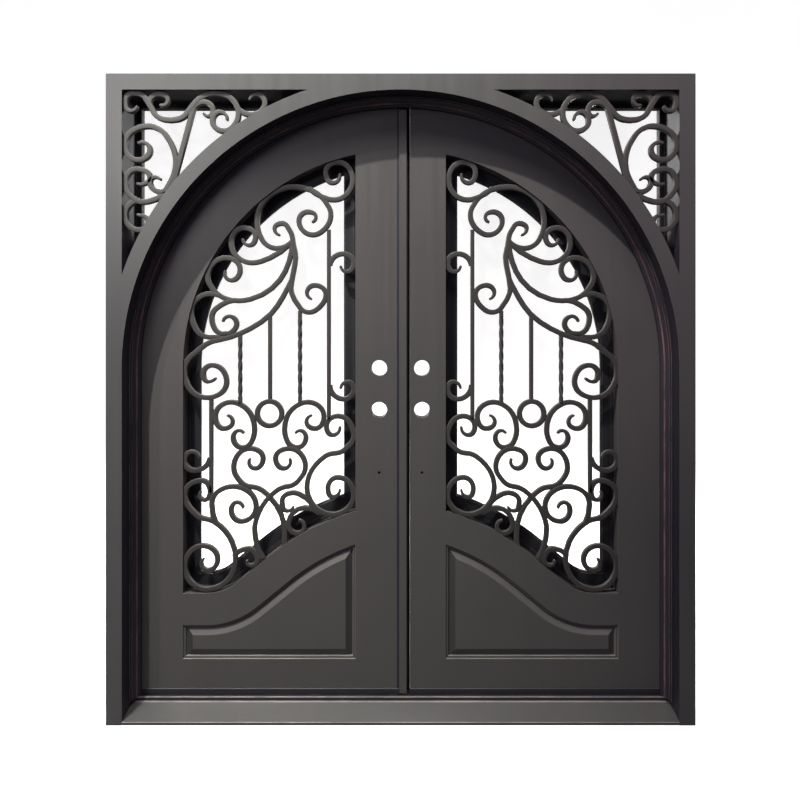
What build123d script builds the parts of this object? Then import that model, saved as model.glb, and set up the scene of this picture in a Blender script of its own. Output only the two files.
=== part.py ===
# Arched double entry door of forged iron: a square outer frame with an arched doorway in it,
# glazed corners over the arch, and two leaves that swing inwards on lift-off hinges. Each leaf
# has an arched glazed opening behind a scrollwork grille, and a raised panel below it.
# Millimetres. X runs to the right seen from outside, Y inwards, Z up. The origin is at the
# middle of the sill's underside.
import os
from math import asin, atan2, cos, degrees, hypot, pi, radians, sin, sqrt, tan

from build123d import *

# Outer frame
FRAME_WIDTH = 1880
FRAME_HEIGHT = 2078
FRAME_DEPTH = 152
JAMB_FACE = 51
ARCH_FACE = 48
ARCH_TIP = 1.5  # degrees left off the feathered ends of the arch corners

# Stop moulding that lines the doorway: steps out from the wall, and their depths along it
STOP_DEPTH = 44
STOP_STEP = 5.5
STOP_FILLET = 12
STOP_QUIRK = 8
STOP_OGEE = 14
STOP_NOSE = 17.5
STOP_NOSE_DEPTH = 5
STOP_LIP = 7
STOP_REACH = 24
SEAL_THICKNESS = 3.4
SEAL_WIDTH = 10
SEAT_GAP = 0.6

# Sill
SILL_LIP = 10
SILL_TOP = 33
SILL_STOP_HEIGHT = 13
SILL_STOP_DEPTH = 12

# Leaves
LEAF_THICKNESS = 60
LEAF_GAP = 5
LEAF_LIFT = 8
LEFT_MEETING_X = -6
RIGHT_MEETING_X = 31.6
HINGE_STILE = 156
OPENING_LOCK_X = 151
BOTTOM_RAIL = 122
MID_RAIL = 106

# Curved rail under the glazed opening: low and level at the hinges, high at the lock.
# Its line rounds two knees; the upper bend runs out tangent at the lock side.
CURVE_LOW_Z = 382
CURVE_HIGH_Z = 657
CURVE_LOW_RADIUS = 160
LOW_KNEE_RUN = 135
HIGH_KNEE_RUN = 160
HIGH_KNEE_DROP = 46

# Raised panel
PANEL_SUNK = 11
PANEL_BORDER = 11
PANEL_BEVEL = 26
PANEL_FIELD_SUNK = 2
PANEL_THICKNESS = 38

# Glazing
SASH_WIDTH = 43
SASH_BOTTOM = 56
SASH_DEPTH = 16
SASH_LIP = 6
GLASS_THICKNESS = 8
GLASS_EDGE = 12
GLASS_PLAY = 0.3
CORNER_SASH_WIDTH = 18
CORNER_SASH_SETBACK = 104
CORNER_SASH_DEPTH = 24

# Grilles
BAR_WIDTH = 14.5
BAR_DEPTH = 14
EYE_WIDTH = 8.5
EYE_TAPER = 54
UPRIGHT_WIDTH = 13
GRILLE_SETBACK = 4
GRILLE_PLAY = 0.3
CORNER_GRILLE_SETBACK = 8
CHORD_ANGLE = radians(45)
CHORD_SAG = 1.9
RING_RADIUS = 41
RING_SIDES = 16
TWIST_WIDTH = 12
TWIST_PITCH = 150
TWIST_STUB = 22
TWIST_STEP = 45

# Lock holes
LOCK_HOLE_RADIUS = 27
LOCK_HOLE_X = 72
LATCH_HOLE_Z = 995.3
LOCK_SPACING = 139.7
PULL_HOLE_RADIUS = 5
PULL_HOLE_Z = 786
DRILL_PAST = 1

# Meeting strip on the left leaf
MEETING_STRIP_X = -4.5
MEETING_STRIP_END = 20
MEETING_STRIP_PROUD = 6
MEETING_GAP = 5.4
MEETING_LIP_DEPTH = 14
MEETING_SEAL_GAP = 0.6

# Lift-off hinges: the pin stands up out of the jamb's barrel into a blind hole in the leaf's
HINGE_SETBACK = 14
BARREL_RADIUS = 9
BARREL_SIDES = 12
PIN_RADIUS = 5
PIN_PLAY = 0.05
PIN_LENGTH = 40
KNUCKLE_HEIGHT = 52
KNUCKLE_GAP = 0.5
HINGE_PLATE_THICKNESS = 5
HINGE_PLATE_REACH = 38
HINGE_PLATE_INSET = 2
HINGE_BOTTOMS = (170, 560, 950)

FRONT = -FRAME_DEPTH / 2
BACK = FRAME_DEPTH / 2
HALF_WIDTH = FRAME_WIDTH / 2
ARCH_RADIUS = HALF_WIDTH - JAMB_FACE
SPRING_Z = FRAME_HEIGHT - JAMB_FACE - ARCH_RADIUS
HEAD_Z = FRAME_HEIGHT - JAMB_FACE
LEAF_FRONT = BACK - LEAF_THICKNESS
LEAF_RADIUS = ARCH_RADIUS - LEAF_GAP
LEAF_BOTTOM = SILL_TOP + LEAF_LIFT
STOP_BACK = LEAF_FRONT - SEAT_GAP - SEAL_THICKNESS
STOP_FRONT = STOP_BACK - STOP_DEPTH
OPENING_RADIUS = LEAF_RADIUS - HINGE_STILE
PANEL_LOW_Z = LEAF_BOTTOM + BOTTOM_RAIL
HINGE_X = ARCH_RADIUS - LEAF_GAP / 2
HINGE_Y = BACK + HINGE_SETBACK


def slab(face, y_front, y_back):
    """Solid of an upright outline, drawn as (x, z), between two depths."""
    return extrude(Plane.XZ.offset(-y_back) * face, y_back - y_front)


def upright(face, y):
    """Upright outline, drawn as (x, z), standing at one depth."""
    return Plane.XZ.offset(-y) * face


def rectangle(x_low, x_high, z_low, z_high):
    return Pos((x_low + x_high) / 2, (z_low + z_high) / 2) * Rectangle(x_high - x_low, z_high - z_low)


def block(x_low, x_high, y_low, y_high, z_low, z_high):
    return slab(rectangle(x_low, x_high, z_low, z_high), y_low, y_high)


def on_arch(radius, angle):
    """Point at this angle from the right-hand springing, on an arch line of this radius."""
    return (radius * cos(radians(angle)), SPRING_Z + radius * sin(radians(angle)))


def arch_arc(radius, angle_from, angle_to):
    middle = (angle_from + angle_to) / 2
    return ThreePointArc(on_arch(radius, angle_from), on_arch(radius, middle), on_arch(radius, angle_to))


def arch_angle(radius, x):
    """Angle at which an arch line of this radius stands over x."""
    return degrees(atan2(sqrt(radius**2 - x**2), x))


def arch_zone(radius, x_edge, z_low):
    """Region under an arch line, from its left springing to x_edge, down to z_low."""
    top = on_arch(radius, arch_angle(radius, x_edge))
    outline = Line((x_edge, z_low), (-radius, z_low))
    outline += Line((-radius, z_low), (-radius, SPRING_Z))
    outline += arch_arc(radius, 180, arch_angle(radius, x_edge))
    outline += Line(top, (x_edge, z_low))
    return make_face(outline)


def mirrored(shape):
    return mirror(shape, about=Plane.YZ)


# Curved rail line

LOW_KNEE = (-OPENING_RADIUS + LOW_KNEE_RUN, CURVE_LOW_Z)
HIGH_KNEE = (-OPENING_LOCK_X - HIGH_KNEE_RUN, CURVE_HIGH_Z - HIGH_KNEE_DROP)
CURVE_SLOPE = degrees(atan2(HIGH_KNEE[1] - LOW_KNEE[1], HIGH_KNEE[0] - LOW_KNEE[0]))
CURVE_END_SLOPE = degrees(atan2(HIGH_KNEE_DROP, HIGH_KNEE_RUN))
HIGH_KNEE_TURN = radians(CURVE_SLOPE - CURVE_END_SLOPE)
CURVE_HIGH_RADIUS = hypot(HIGH_KNEE_RUN, HIGH_KNEE_DROP) / tan(HIGH_KNEE_TURN / 2)
CURVE_LOW_CENTRE = (
    LOW_KNEE[0] - CURVE_LOW_RADIUS * tan(radians(CURVE_SLOPE / 2)),
    CURVE_LOW_Z + CURVE_LOW_RADIUS,
)
CURVE_HIGH_CENTRE = (
    -OPENING_LOCK_X + CURVE_HIGH_RADIUS * sin(radians(CURVE_END_SLOPE)),
    CURVE_HIGH_Z - CURVE_HIGH_RADIUS * cos(radians(CURVE_END_SLOPE)),
)


def low_bend(drop, slope):
    radius = CURVE_LOW_RADIUS + drop
    turn = radians(slope)
    return (CURVE_LOW_CENTRE[0] + radius * sin(turn), CURVE_LOW_CENTRE[1] - radius * cos(turn))


def high_bend(drop, slope):
    radius = CURVE_HIGH_RADIUS - drop
    turn = radians(slope)
    return (CURVE_HIGH_CENTRE[0] - radius * sin(turn), CURVE_HIGH_CENTRE[1] + radius * cos(turn))


def curve_end_slope(drop, x_right):
    return degrees(asin((CURVE_HIGH_CENTRE[0] - x_right) / (CURVE_HIGH_RADIUS - drop)))


def curve_end(drop, x_right):
    return high_bend(drop, curve_end_slope(drop, x_right))


def curve_line(drop, x_left, x_right):
    """The curved rail's upper line, lowered by drop, between two upright edges."""
    end_slope = curve_end_slope(drop, x_right)
    line = Line((x_left, CURVE_LOW_Z - drop), low_bend(drop, 0))
    line += ThreePointArc(low_bend(drop, 0), low_bend(drop, CURVE_SLOPE / 2), low_bend(drop, CURVE_SLOPE))
    line += Line(low_bend(drop, CURVE_SLOPE), high_bend(drop, CURVE_SLOPE))
    middle_slope = (CURVE_SLOPE + end_slope) / 2
    line += ThreePointArc(
        high_bend(drop, CURVE_SLOPE), high_bend(drop, middle_slope), high_bend(drop, end_slope)
    )
    return line


def opening_outline(inset=0.0, bottom_inset=None):
    """The left leaf's glazed opening, drawn in from its edges by these insets."""
    drop = -(inset if bottom_inset is None else bottom_inset)
    x_left = -OPENING_RADIUS + inset
    x_right = -OPENING_LOCK_X - inset
    radius = OPENING_RADIUS - inset
    top_angle = arch_angle(radius, x_right)
    outline = curve_line(drop, x_left, x_right)
    outline += Line(curve_end(drop, x_right), on_arch(radius, top_angle))
    outline += arch_arc(radius, top_angle, 180)
    outline += Line((x_left, SPRING_Z), (x_left, CURVE_LOW_Z - drop))
    return make_face(outline)


def panel_outline(inset=0.0):
    """The left leaf's panel opening, drawn in from its edges."""
    x_left = -OPENING_RADIUS + inset
    x_right = -OPENING_LOCK_X - inset
    z_low = PANEL_LOW_Z + inset
    drop = MID_RAIL + inset
    outline = curve_line(drop, x_left, x_right)
    outline += Line(curve_end(drop, x_right), (x_right, z_low))
    outline += Line((x_right, z_low), (x_left, z_low))
    outline += Line((x_left, z_low), (x_left, CURVE_LOW_Z - drop))
    return make_face(outline)


# Outer frame

def left_jamb():
    outline = Polyline(
        (-HALF_WIDTH, 0),
        (-ARCH_RADIUS, 0),
        (-ARCH_RADIUS, HEAD_Z),
        (-HALF_WIDTH, FRAME_HEIGHT),
        close=True,
    )
    return slab(make_face(outline), FRONT, BACK)


def head():
    outline = Polyline(
        (-HALF_WIDTH, FRAME_HEIGHT),
        (-ARCH_RADIUS, HEAD_Z),
        (ARCH_RADIUS, HEAD_Z),
        (HALF_WIDTH, FRAME_HEIGHT),
        close=True,
    )
    return slab(make_face(outline), FRONT, BACK)


def left_arch_corner():
    """Bent bar that rounds the doorway's top corner, let in between jamb and head."""
    outer = ARCH_RADIUS + ARCH_FACE
    foot_angle = 180 - ARCH_TIP
    crown_angle = 90 + ARCH_TIP
    meet = sqrt(outer**2 - ARCH_RADIUS**2)
    outer_foot = 180 - degrees(atan2(meet, ARCH_RADIUS))
    outer_crown = 180 - degrees(atan2(ARCH_RADIUS, meet))
    foot = on_arch(ARCH_RADIUS, foot_angle)
    crown = on_arch(ARCH_RADIUS, crown_angle)
    outline = Line(foot, (-ARCH_RADIUS, foot[1]))
    outline += Line((-ARCH_RADIUS, foot[1]), (-ARCH_RADIUS, SPRING_Z + meet))
    outline += ThreePointArc(
        (-ARCH_RADIUS, SPRING_Z + meet), on_arch(outer, (outer_foot + outer_crown) / 2), (-meet, HEAD_Z)
    )
    outline += Line((-meet, HEAD_Z), (crown[0], HEAD_Z))
    outline += Line((crown[0], HEAD_Z), crown)
    outline += arch_arc(ARCH_RADIUS, crown_angle, foot_angle)
    return slab(make_face(outline), FRONT, BACK)


def stop_profile():
    """Section of the stop moulding, as (distance out from the wall, depth)."""
    quirk = STOP_FRONT + STOP_FILLET
    ogee = quirk + STOP_QUIRK
    nose = ogee + STOP_OGEE / 2
    section = Polyline(
        (0, STOP_BACK),
        (0, STOP_FRONT),
        (STOP_STEP, STOP_FRONT),
        (STOP_STEP, quirk),
        ((STOP_STEP + STOP_NOSE) / 2, ogee),
        (STOP_NOSE, nose),
        (STOP_NOSE, nose + STOP_NOSE_DEPTH),
        (STOP_REACH, STOP_BACK - STOP_LIP),
        (STOP_REACH, STOP_BACK),
        close=True,
    )
    return make_face(section)


def along_left_wall(section, z):
    """Place a (out, depth) section on the left jamb's inner wall, level at height z."""
    return Pos(-ARCH_RADIUS, 0, z) * section


def stop_foot_z():
    return SILL_TOP + SILL_STOP_HEIGHT


def left_stop():
    return extrude(along_left_wall(stop_profile(), stop_foot_z()), SPRING_Z - stop_foot_z())


def left_arch_stop():
    return revolve(along_left_wall(stop_profile(), SPRING_Z), Axis((0, 0, SPRING_Z), (0, 1, 0)), 90)


def seal_profile():
    low = STOP_REACH - SEAL_WIDTH
    middle = STOP_BACK + SEAL_THICKNESS / 2
    return Pos((low + STOP_REACH) / 2, middle) * Rectangle(SEAL_WIDTH, SEAL_THICKNESS)


def left_seal():
    foot = extrude(along_left_wall(seal_profile(), stop_foot_z()), SPRING_Z - stop_foot_z())
    bend = revolve(along_left_wall(seal_profile(), SPRING_Z), Axis((0, 0, SPRING_Z), (0, 1, 0)), 90)
    return foot + bend


def sill():
    slope_end = STOP_BACK - SILL_STOP_DEPTH
    side = Polyline(
        (FRONT, 0), (BACK, 0), (BACK, SILL_TOP), (slope_end, SILL_TOP), (FRONT, SILL_LIP), close=True
    )
    section = Plane.YZ.offset(-ARCH_RADIUS) * make_face(side)
    return extrude(section, 2 * ARCH_RADIUS)


def sill_stop():
    y_low = STOP_BACK - SILL_STOP_DEPTH
    return block(-ARCH_RADIUS, ARCH_RADIUS, y_low, STOP_BACK, SILL_TOP, stop_foot_z())


def left_corner_outline(inset=0.0):
    """Glazed corner between jamb, head and arch, drawn in from its edges."""
    wall = ARCH_RADIUS - inset
    top = HEAD_Z - inset
    radius = ARCH_RADIUS + ARCH_FACE + inset
    foot_rise = sqrt(radius**2 - wall**2)
    crown_reach = sqrt(radius**2 - (top - SPRING_Z) ** 2)
    foot_angle = 180 - degrees(atan2(foot_rise, wall))
    crown_angle = 180 - degrees(atan2(top - SPRING_Z, crown_reach))
    outline = Line((-wall, SPRING_Z + foot_rise), (-wall, top))
    outline += Line((-wall, top), (-crown_reach, top))
    outline += arch_arc(radius, crown_angle, foot_angle)
    return make_face(outline)


def rebated_sash(outline, face_ring, y_front, depth, lip, rebate):
    """Sash of this outline: a lip of the ring's width, and behind it a rebate for the pane."""
    behind = outline - rebate
    return slab(face_ring, y_front, y_front + lip) + slab(behind, y_front + lip, y_front + depth)


def left_corner_sash():
    outline = left_corner_outline()
    ring = outline - left_corner_outline(CORNER_SASH_WIDTH)
    rebate = left_corner_outline(CORNER_SASH_WIDTH - GLASS_EDGE)
    return rebated_sash(outline, ring, FRONT + CORNER_SASH_SETBACK, CORNER_SASH_DEPTH, SASH_LIP, rebate)


def left_corner_glass():
    front = FRONT + CORNER_SASH_SETBACK + SASH_LIP + GLASS_PLAY
    pane = left_corner_outline(CORNER_SASH_WIDTH - GLASS_EDGE + GLASS_PLAY)
    return slab(pane, front, front + GLASS_THICKNESS)


# Leaves

def lock_holes():
    holes = Part()
    spots = (
        (LATCH_HOLE_Z, LOCK_HOLE_RADIUS),
        (LATCH_HOLE_Z + LOCK_SPACING, LOCK_HOLE_RADIUS),
        (PULL_HOLE_Z, PULL_HOLE_RADIUS),
    )
    for z, radius in spots:
        holes += slab(Pos(-LOCK_HOLE_X, z) * Circle(radius), LEAF_FRONT - DRILL_PAST, BACK + DRILL_PAST)
    return holes


def lock_stile(meeting_x):
    zone = arch_zone(LEAF_RADIUS, meeting_x, LEAF_BOTTOM)
    zone &= rectangle(-OPENING_LOCK_X, meeting_x, LEAF_BOTTOM, SPRING_Z + LEAF_RADIUS)
    return slab(zone, LEAF_FRONT, BACK) - lock_holes()


def hinge_stile():
    return block(-LEAF_RADIUS, -OPENING_RADIUS, LEAF_FRONT, BACK, LEAF_BOTTOM, SPRING_Z)


def arch_rail():
    outer_angle = arch_angle(LEAF_RADIUS, -OPENING_LOCK_X)
    inner_angle = arch_angle(OPENING_RADIUS, -OPENING_LOCK_X)
    outline = arch_arc(LEAF_RADIUS, 180, outer_angle)
    outline += Line(on_arch(LEAF_RADIUS, outer_angle), on_arch(OPENING_RADIUS, inner_angle))
    outline += arch_arc(OPENING_RADIUS, inner_angle, 180)
    outline += Line((-OPENING_RADIUS, SPRING_Z), (-LEAF_RADIUS, SPRING_Z))
    return slab(make_face(outline), LEAF_FRONT, BACK)


def mid_rail():
    outline = curve_line(0, -OPENING_RADIUS, -OPENING_LOCK_X)
    outline += Line(curve_end(0, -OPENING_LOCK_X), curve_end(MID_RAIL, -OPENING_LOCK_X))
    outline += curve_line(MID_RAIL, -OPENING_RADIUS, -OPENING_LOCK_X)
    outline += Line((-OPENING_RADIUS, CURVE_LOW_Z - MID_RAIL), (-OPENING_RADIUS, CURVE_LOW_Z))
    return slab(make_face(outline), LEAF_FRONT, BACK)


def bottom_rail():
    return block(-OPENING_RADIUS, -OPENING_LOCK_X, LEAF_FRONT, BACK, LEAF_BOTTOM, PANEL_LOW_Z)


def raised_panel():
    bed = LEAF_FRONT + PANEL_SUNK
    plate = slab(panel_outline(), bed, bed + PANEL_THICKNESS)
    foot = upright(panel_outline(PANEL_BORDER), bed)
    field = upright(panel_outline(PANEL_BORDER + PANEL_BEVEL), LEAF_FRONT + PANEL_FIELD_SUNK)
    return plate + loft([foot, field], ruled=True)


def glass_outline(play=0.0):
    edge = GLASS_EDGE - play
    return opening_outline(SASH_WIDTH - edge, SASH_BOTTOM - edge)


def glass_sash():
    outline = opening_outline()
    ring = outline - opening_outline(SASH_WIDTH, SASH_BOTTOM)
    return rebated_sash(outline, ring, BACK - SASH_DEPTH, SASH_DEPTH, SASH_LIP, glass_outline())


def glass_pane():
    front = BACK - SASH_DEPTH + SASH_LIP + GLASS_PLAY
    return slab(glass_outline(GLASS_PLAY), front, front + GLASS_THICKNESS)


def meeting_strip():
    """T-shaped strip welded to the left leaf's meeting edge, with a lip at its back."""
    front = LEAF_FRONT - MEETING_STRIP_PROUD
    zone = arch_zone(LEAF_RADIUS, MEETING_STRIP_END, LEAF_BOTTOM)
    face = zone & rectangle(LEFT_MEETING_X, MEETING_STRIP_END, LEAF_BOTTOM, SPRING_Z + LEAF_RADIUS)
    lip_end = RIGHT_MEETING_X - MEETING_GAP
    lip_zone = arch_zone(LEAF_RADIUS, lip_end, LEAF_BOTTOM)
    lip = lip_zone & rectangle(MEETING_STRIP_END, lip_end, LEAF_BOTTOM, SPRING_Z + LEAF_RADIUS)
    proud_zone = arch_zone(ARCH_RADIUS - STOP_REACH - LEAF_GAP, MEETING_STRIP_END, stop_foot_z() + LEAF_GAP)
    proud = proud_zone & rectangle(
        MEETING_STRIP_X, MEETING_STRIP_END, stop_foot_z(), SPRING_Z + LEAF_RADIUS
    )
    return slab(face, LEAF_FRONT, BACK) + slab(lip, BACK - MEETING_LIP_DEPTH, BACK) + slab(
        proud, front, LEAF_FRONT
    )


def meeting_seal():
    low = RIGHT_MEETING_X - MEETING_GAP
    high = RIGHT_MEETING_X - MEETING_SEAL_GAP
    zone = arch_zone(LEAF_RADIUS, high, LEAF_BOTTOM)
    zone &= rectangle(low, high, LEAF_BOTTOM, SPRING_Z + LEAF_RADIUS)
    return slab(zone, BACK - MEETING_LIP_DEPTH / 2, BACK)


# Hinges

def knuckle_section(side):
    """Barrel with its plate; side -1 is fixed to the jamb and +1 to the leaf."""
    seat_x = -HINGE_X + side * (LEAF_GAP / 2 + HINGE_PLATE_INSET)
    end_x = seat_x + side * HINGE_PLATE_REACH
    plate_top = BACK + HINGE_PLATE_THICKNESS
    shoulder = BARREL_RADIUS * sqrt(0.5)
    outline = Polyline(
        (seat_x, BACK),
        (end_x, BACK),
        (end_x, plate_top),
        (seat_x + side * BARREL_RADIUS, plate_top),
        (-HINGE_X + side * shoulder, HINGE_Y + shoulder),
        (-HINGE_X, HINGE_Y),
        close=True,
    )
    return make_face(outline) + Pos(-HINGE_X, HINGE_Y) * RegularPolygon(BARREL_RADIUS, BARREL_SIDES)


def left_jamb_knuckles():
    """Jamb barrels, each with its pin standing up out of it."""
    pin = Pos(-HINGE_X, HINGE_Y) * extrude(Circle(PIN_RADIUS), KNUCKLE_HEIGHT + PIN_LENGTH)
    barrel = extrude(knuckle_section(-1), KNUCKLE_HEIGHT) + pin
    return Compound(children=[Pos(0, 0, z) * barrel for z in HINGE_BOTTOMS])


def leaf_knuckles():
    """Leaf barrels, closed at the top, with a blind hole for the pin."""
    hole = Pos(-HINGE_X, HINGE_Y) * extrude(Circle(PIN_RADIUS + PIN_PLAY), PIN_LENGTH)
    barrel = extrude(knuckle_section(1), KNUCKLE_HEIGHT) - hole
    rise = KNUCKLE_HEIGHT + KNUCKLE_GAP
    return Compound(children=[Pos(0, 0, z + rise) * barrel for z in HINGE_BOTTOMS])


# Scroll drawing
#
# Each scroll is a bar drawn by its centre line, as the stations that a smith would mark: the
# points where it stands level or plumb, and a few between. The bar is bent to arcs between
# them. A station is (across, up) or (across, up, LEVEL or PLUMB), on the drawing's own grid.

LEVEL = "level"
PLUMB = "plumb"
SAME_HEADING = 1e-6  # radians


def heading_at(points, index):
    """Direction of the centre line at a station, in radians; None where only its neighbour tells."""
    before = points[max(index - 1, 0)]
    after = points[min(index + 1, len(points) - 1)]
    here = points[index]
    if len(here) == 3:
        if here[2] == LEVEL:
            return 0.0 if after[0] > before[0] else pi
        return pi / 2 if after[1] > before[1] else -pi / 2
    if index in (0, len(points) - 1):
        return None
    chord_in = atan2(here[1] - before[1], here[0] - before[0])
    chord_out = atan2(after[1] - here[1], after[0] - here[0])
    length_in = hypot(here[0] - before[0], here[1] - before[1])
    length_out = hypot(after[0] - here[0], after[1] - here[1])
    return chord_in + half_turn(chord_out - chord_in) * length_in / (length_in + length_out)


def half_turn(angle):
    """The same angle between minus half a turn and half a turn."""
    return (angle + pi) % (2 * pi) - pi


def arc_to(start, heading, end):
    """Arc from start at this heading to end, with its straight length and half its turn."""
    chord = atan2(end[1] - start[1], end[0] - start[0])
    return start, heading, hypot(end[0] - start[0], end[1] - start[1]), half_turn(chord - heading)


def along_arc(arc, share):
    """Point and heading at this share of an arc."""
    start, heading, length, half = arc
    reach = length * (sin(half * share) / sin(half) if half else share)
    angle = heading + half * share
    return (start[0] + reach * cos(angle), start[1] + reach * sin(angle), heading + 2 * half * share)


def bend_joint(start, heading_start, end, heading_end):
    """Where the two tangent arcs that join two stations meet."""
    across, up = end[0] - start[0], end[1] - start[1]
    out = (cos(heading_start), sin(heading_start))
    into = (cos(heading_end), sin(heading_end))
    along = across * (out[0] + into[0]) + up * (out[1] + into[1])
    spread = 2 * (1 - out[0] * into[0] - out[1] * into[1])
    square = across**2 + up**2
    if spread > SAME_HEADING:
        reach = (sqrt(along**2 + spread * square) - along) / spread
    else:
        reach = square / (2 * along)
    return (
        (start[0] + end[0] + reach * (out[0] - into[0])) / 2,
        (start[1] + end[1] + reach * (out[1] - into[1])) / 2,
    )


def bend_points(start, heading_start, end, heading_end):
    """Points along two tangent arcs between stations, none sagging by more than CHORD_SAG."""
    joint = bend_joint(start, heading_start, end, heading_end)
    first = arc_to(start, heading_start, joint)
    second = arc_to(joint, heading_start + 2 * first[3], end)
    turn_first, turn_second = abs(2 * first[3]), abs(2 * second[3])
    turn = turn_first + turn_second
    if turn < SAME_HEADING:
        return [along_arc(second, 1)]
    radius = (first[2] + second[2]) / turn
    count = max(1, round(turn / min(CHORD_ANGLE, sqrt(8 * CHORD_SAG / radius))))
    points = []
    for step in range(1, count):
        turned = turn * step / count
        if turned < turn_first:
            points.append(along_arc(first, turned / turn_first))
        else:
            points.append(along_arc(second, (turned - turn_first) / turn_second))
    return points + [along_arc(second, 1)]


def centre_line(stations):
    """Points (x, z, heading) along a scroll's centre line."""
    headings = [heading_at(stations, index) for index in range(len(stations))]
    if headings[0] is None:
        chord = atan2(stations[1][1] - stations[0][1], stations[1][0] - stations[0][0])
        headings[0] = chord if headings[1] is None else 2 * chord - headings[1]
    if headings[-1] is None:
        chord = atan2(stations[-1][1] - stations[-2][1], stations[-1][0] - stations[-2][0])
        headings[-1] = chord if len(stations) == 2 else 2 * chord - headings[-2]
    line = [(stations[0][0], stations[0][1], headings[0])]
    for index in range(len(stations) - 1):
        line += bend_points(stations[index], headings[index], stations[index + 1], headings[index + 1])
    return line


def bar_face(stations, width_start=BAR_WIDTH, width_end=BAR_WIDTH):
    """Flat outline of a scroll bar, tapered over its last bends where an end is narrower."""
    line = centre_line(stations)
    lengths = [0.0]
    for before, after in zip(line, line[1:]):
        lengths.append(lengths[-1] + hypot(after[0] - before[0], after[1] - before[1]))
    left, right = [], []
    for (x, z, heading), length in zip(line, lengths):
        width = BAR_WIDTH
        width -= (BAR_WIDTH - width_start) * max(0.0, 1 - length / EYE_TAPER)
        width -= (BAR_WIDTH - width_end) * max(0.0, 1 - (lengths[-1] - length) / EYE_TAPER)
        aside = (-sin(heading) * width / 2, cos(heading) * width / 2)
        left.append((x + aside[0], z + aside[1]))
        right.append((x - aside[0], z - aside[1]))
    return make_face(Polyline(*left, *reversed(right), close=True))


# Grid of the leaf's scroll drawing: across from the door's centre line, up from near the springing.
# The opening it was drawn for reaches from DRAWN_LOCK to DRAWN_RADIUS, and down by DRAWN_DROP.
DRAWN_LOCK = 44.6
DRAWN_RADIUS = 216.9
DRAWN_DROP = 225.7
DRAWN_SPRING = -0.5


def on_leaf(stations):
    """Carry stations from the drawing to the left leaf's opening."""
    placed = []
    for across, up, *mark in stations:
        share = (across - DRAWN_LOCK) / (DRAWN_RADIUS - DRAWN_LOCK)
        x = -OPENING_LOCK_X - share * (OPENING_RADIUS - OPENING_LOCK_X)
        rise = up - DRAWN_SPRING
        scale = OPENING_RADIUS / DRAWN_RADIUS if rise > 0 else (SPRING_Z - CURVE_LOW_Z) / DRAWN_DROP
        placed.append((x, SPRING_Z + rise * scale, *mark))
    return placed


# Scrolls with an eye at both ends
TOP_CORNER_SCROLL = [
    (60.5, 192), (67.5, 184, LEVEL), (74.5, 194, PLUMB), (62.5, 204.5, LEVEL), (47.5, 187, PLUMB),
    (66.5, 167, LEVEL), (78.5, 170), (91.5, 178.5),
]
CROWN_SCROLL = [
    (87.5, 145), (84.5, 150), (92.5, 155, LEVEL), (101.5, 146, PLUMB), (87.5, 132, LEVEL), (75.5, 138),
    (69.5, 152, PLUMB), (75.5, 166), (106.5, 180, LEVEL), (143.5, 145, PLUMB), (123.5, 118.5, LEVEL),
    (108.5, 125),
]
PLUME = [
    (121.5, 132), (126, 138, PLUMB), (118.5, 143.5, LEVEL), (110, 135), (107, 122), (104.8, 109, PLUMB),
    (107, 95), (109.5, 79, PLUMB), (106, 67), (91.5, 54.5, LEVEL), (79.5, 61), (74.5, 72, PLUMB),
    (85.5, 81.5, LEVEL), (93.5, 74, PLUMB), (89.5, 68),
]
UPPER_SIDE_SCROLL = [
    (157.5, 127), (151.5, 121.5, LEVEL), (145, 130, PLUMB), (156.5, 139, LEVEL), (169.5, 124, PLUMB),
    (148.5, 104, LEVEL), (130.5, 109), (110.5, 123),
]
MIDDLE_SIDE_SCROLL = [
    (175.5, 95), (169.5, 86.5, LEVEL), (160.5, 97, PLUMB), (174.5, 109, LEVEL), (193, 90, PLUMB),
    (187.5, 77), (162.5, 66, LEVEL), (138.5, 72), (120.5, 87), (111.5, 105), (108, 124),
]
SIDE_LINK = [(180.5, 71), (190.5, 73, LEVEL), (209.5, 55, PLUMB), (190.5, 29.5, LEVEL), (172.5, 30)]
INNER_CURL = [
    (160.5, 66), (175.5, 64), (189, 49, PLUMB), (177.5, 33, LEVEL), (168.5, 35), (164, 43, PLUMB),
    (171.5, 50.5, LEVEL), (177.5, 46),
]
LONG_SIDE_SCROLL = [
    (107, 93), (117.5, 70), (129.5, 53), (150.5, 38), (170.5, 29.5), (195.5, 22), (216.5, -5, PLUMB),
    (193.5, -31, LEVEL), (174, -15, PLUMB), (188.5, 1.5, LEVEL), (197.5, -7, PLUMB), (192.5, -15, LEVEL),
    (185.5, -12),
]
UPPER_LOCK_CURL = [(70.5, 101), (57.5, 113, LEVEL), (46.5, 104, PLUMB), (53.5, 95, LEVEL), (59.5, 100)]
LOWER_LOCK_CURL = [(70.5, -18), (56.5, -32.5, LEVEL), (46.5, -22, PLUMB), (52.5, -15, LEVEL), (59.5, -21)]
LOCK_SIDE_SCROLL = [
    (60.5, -61), (67.5, -68.5, LEVEL), (74, -60, PLUMB), (62.5, -49.5, LEVEL), (46.5, -69, PLUMB),
    (55.5, -83), (75.5, -90), (93.5, -121, PLUMB), (67.5, -148, LEVEL), (46.5, -128, PLUMB),
    (62.5, -111, LEVEL), (72.5, -122, PLUMB), (67.5, -130.5, LEVEL), (60.5, -124),
]
LOW_LOCK_CURL = [
    (107.5, -141), (113.5, -144.5), (118.5, -135, PLUMB), (107.5, -126.5, LEVEL), (95.5, -131), (86.5, -142),
]
FOOT_LOCK_CURL = [
    (80.5, -147), (95.5, -141.5, LEVEL), (112, -158, PLUMB), (102.5, -167, LEVEL), (96, -160, PLUMB),
    (100.5, -154),
]
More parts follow.
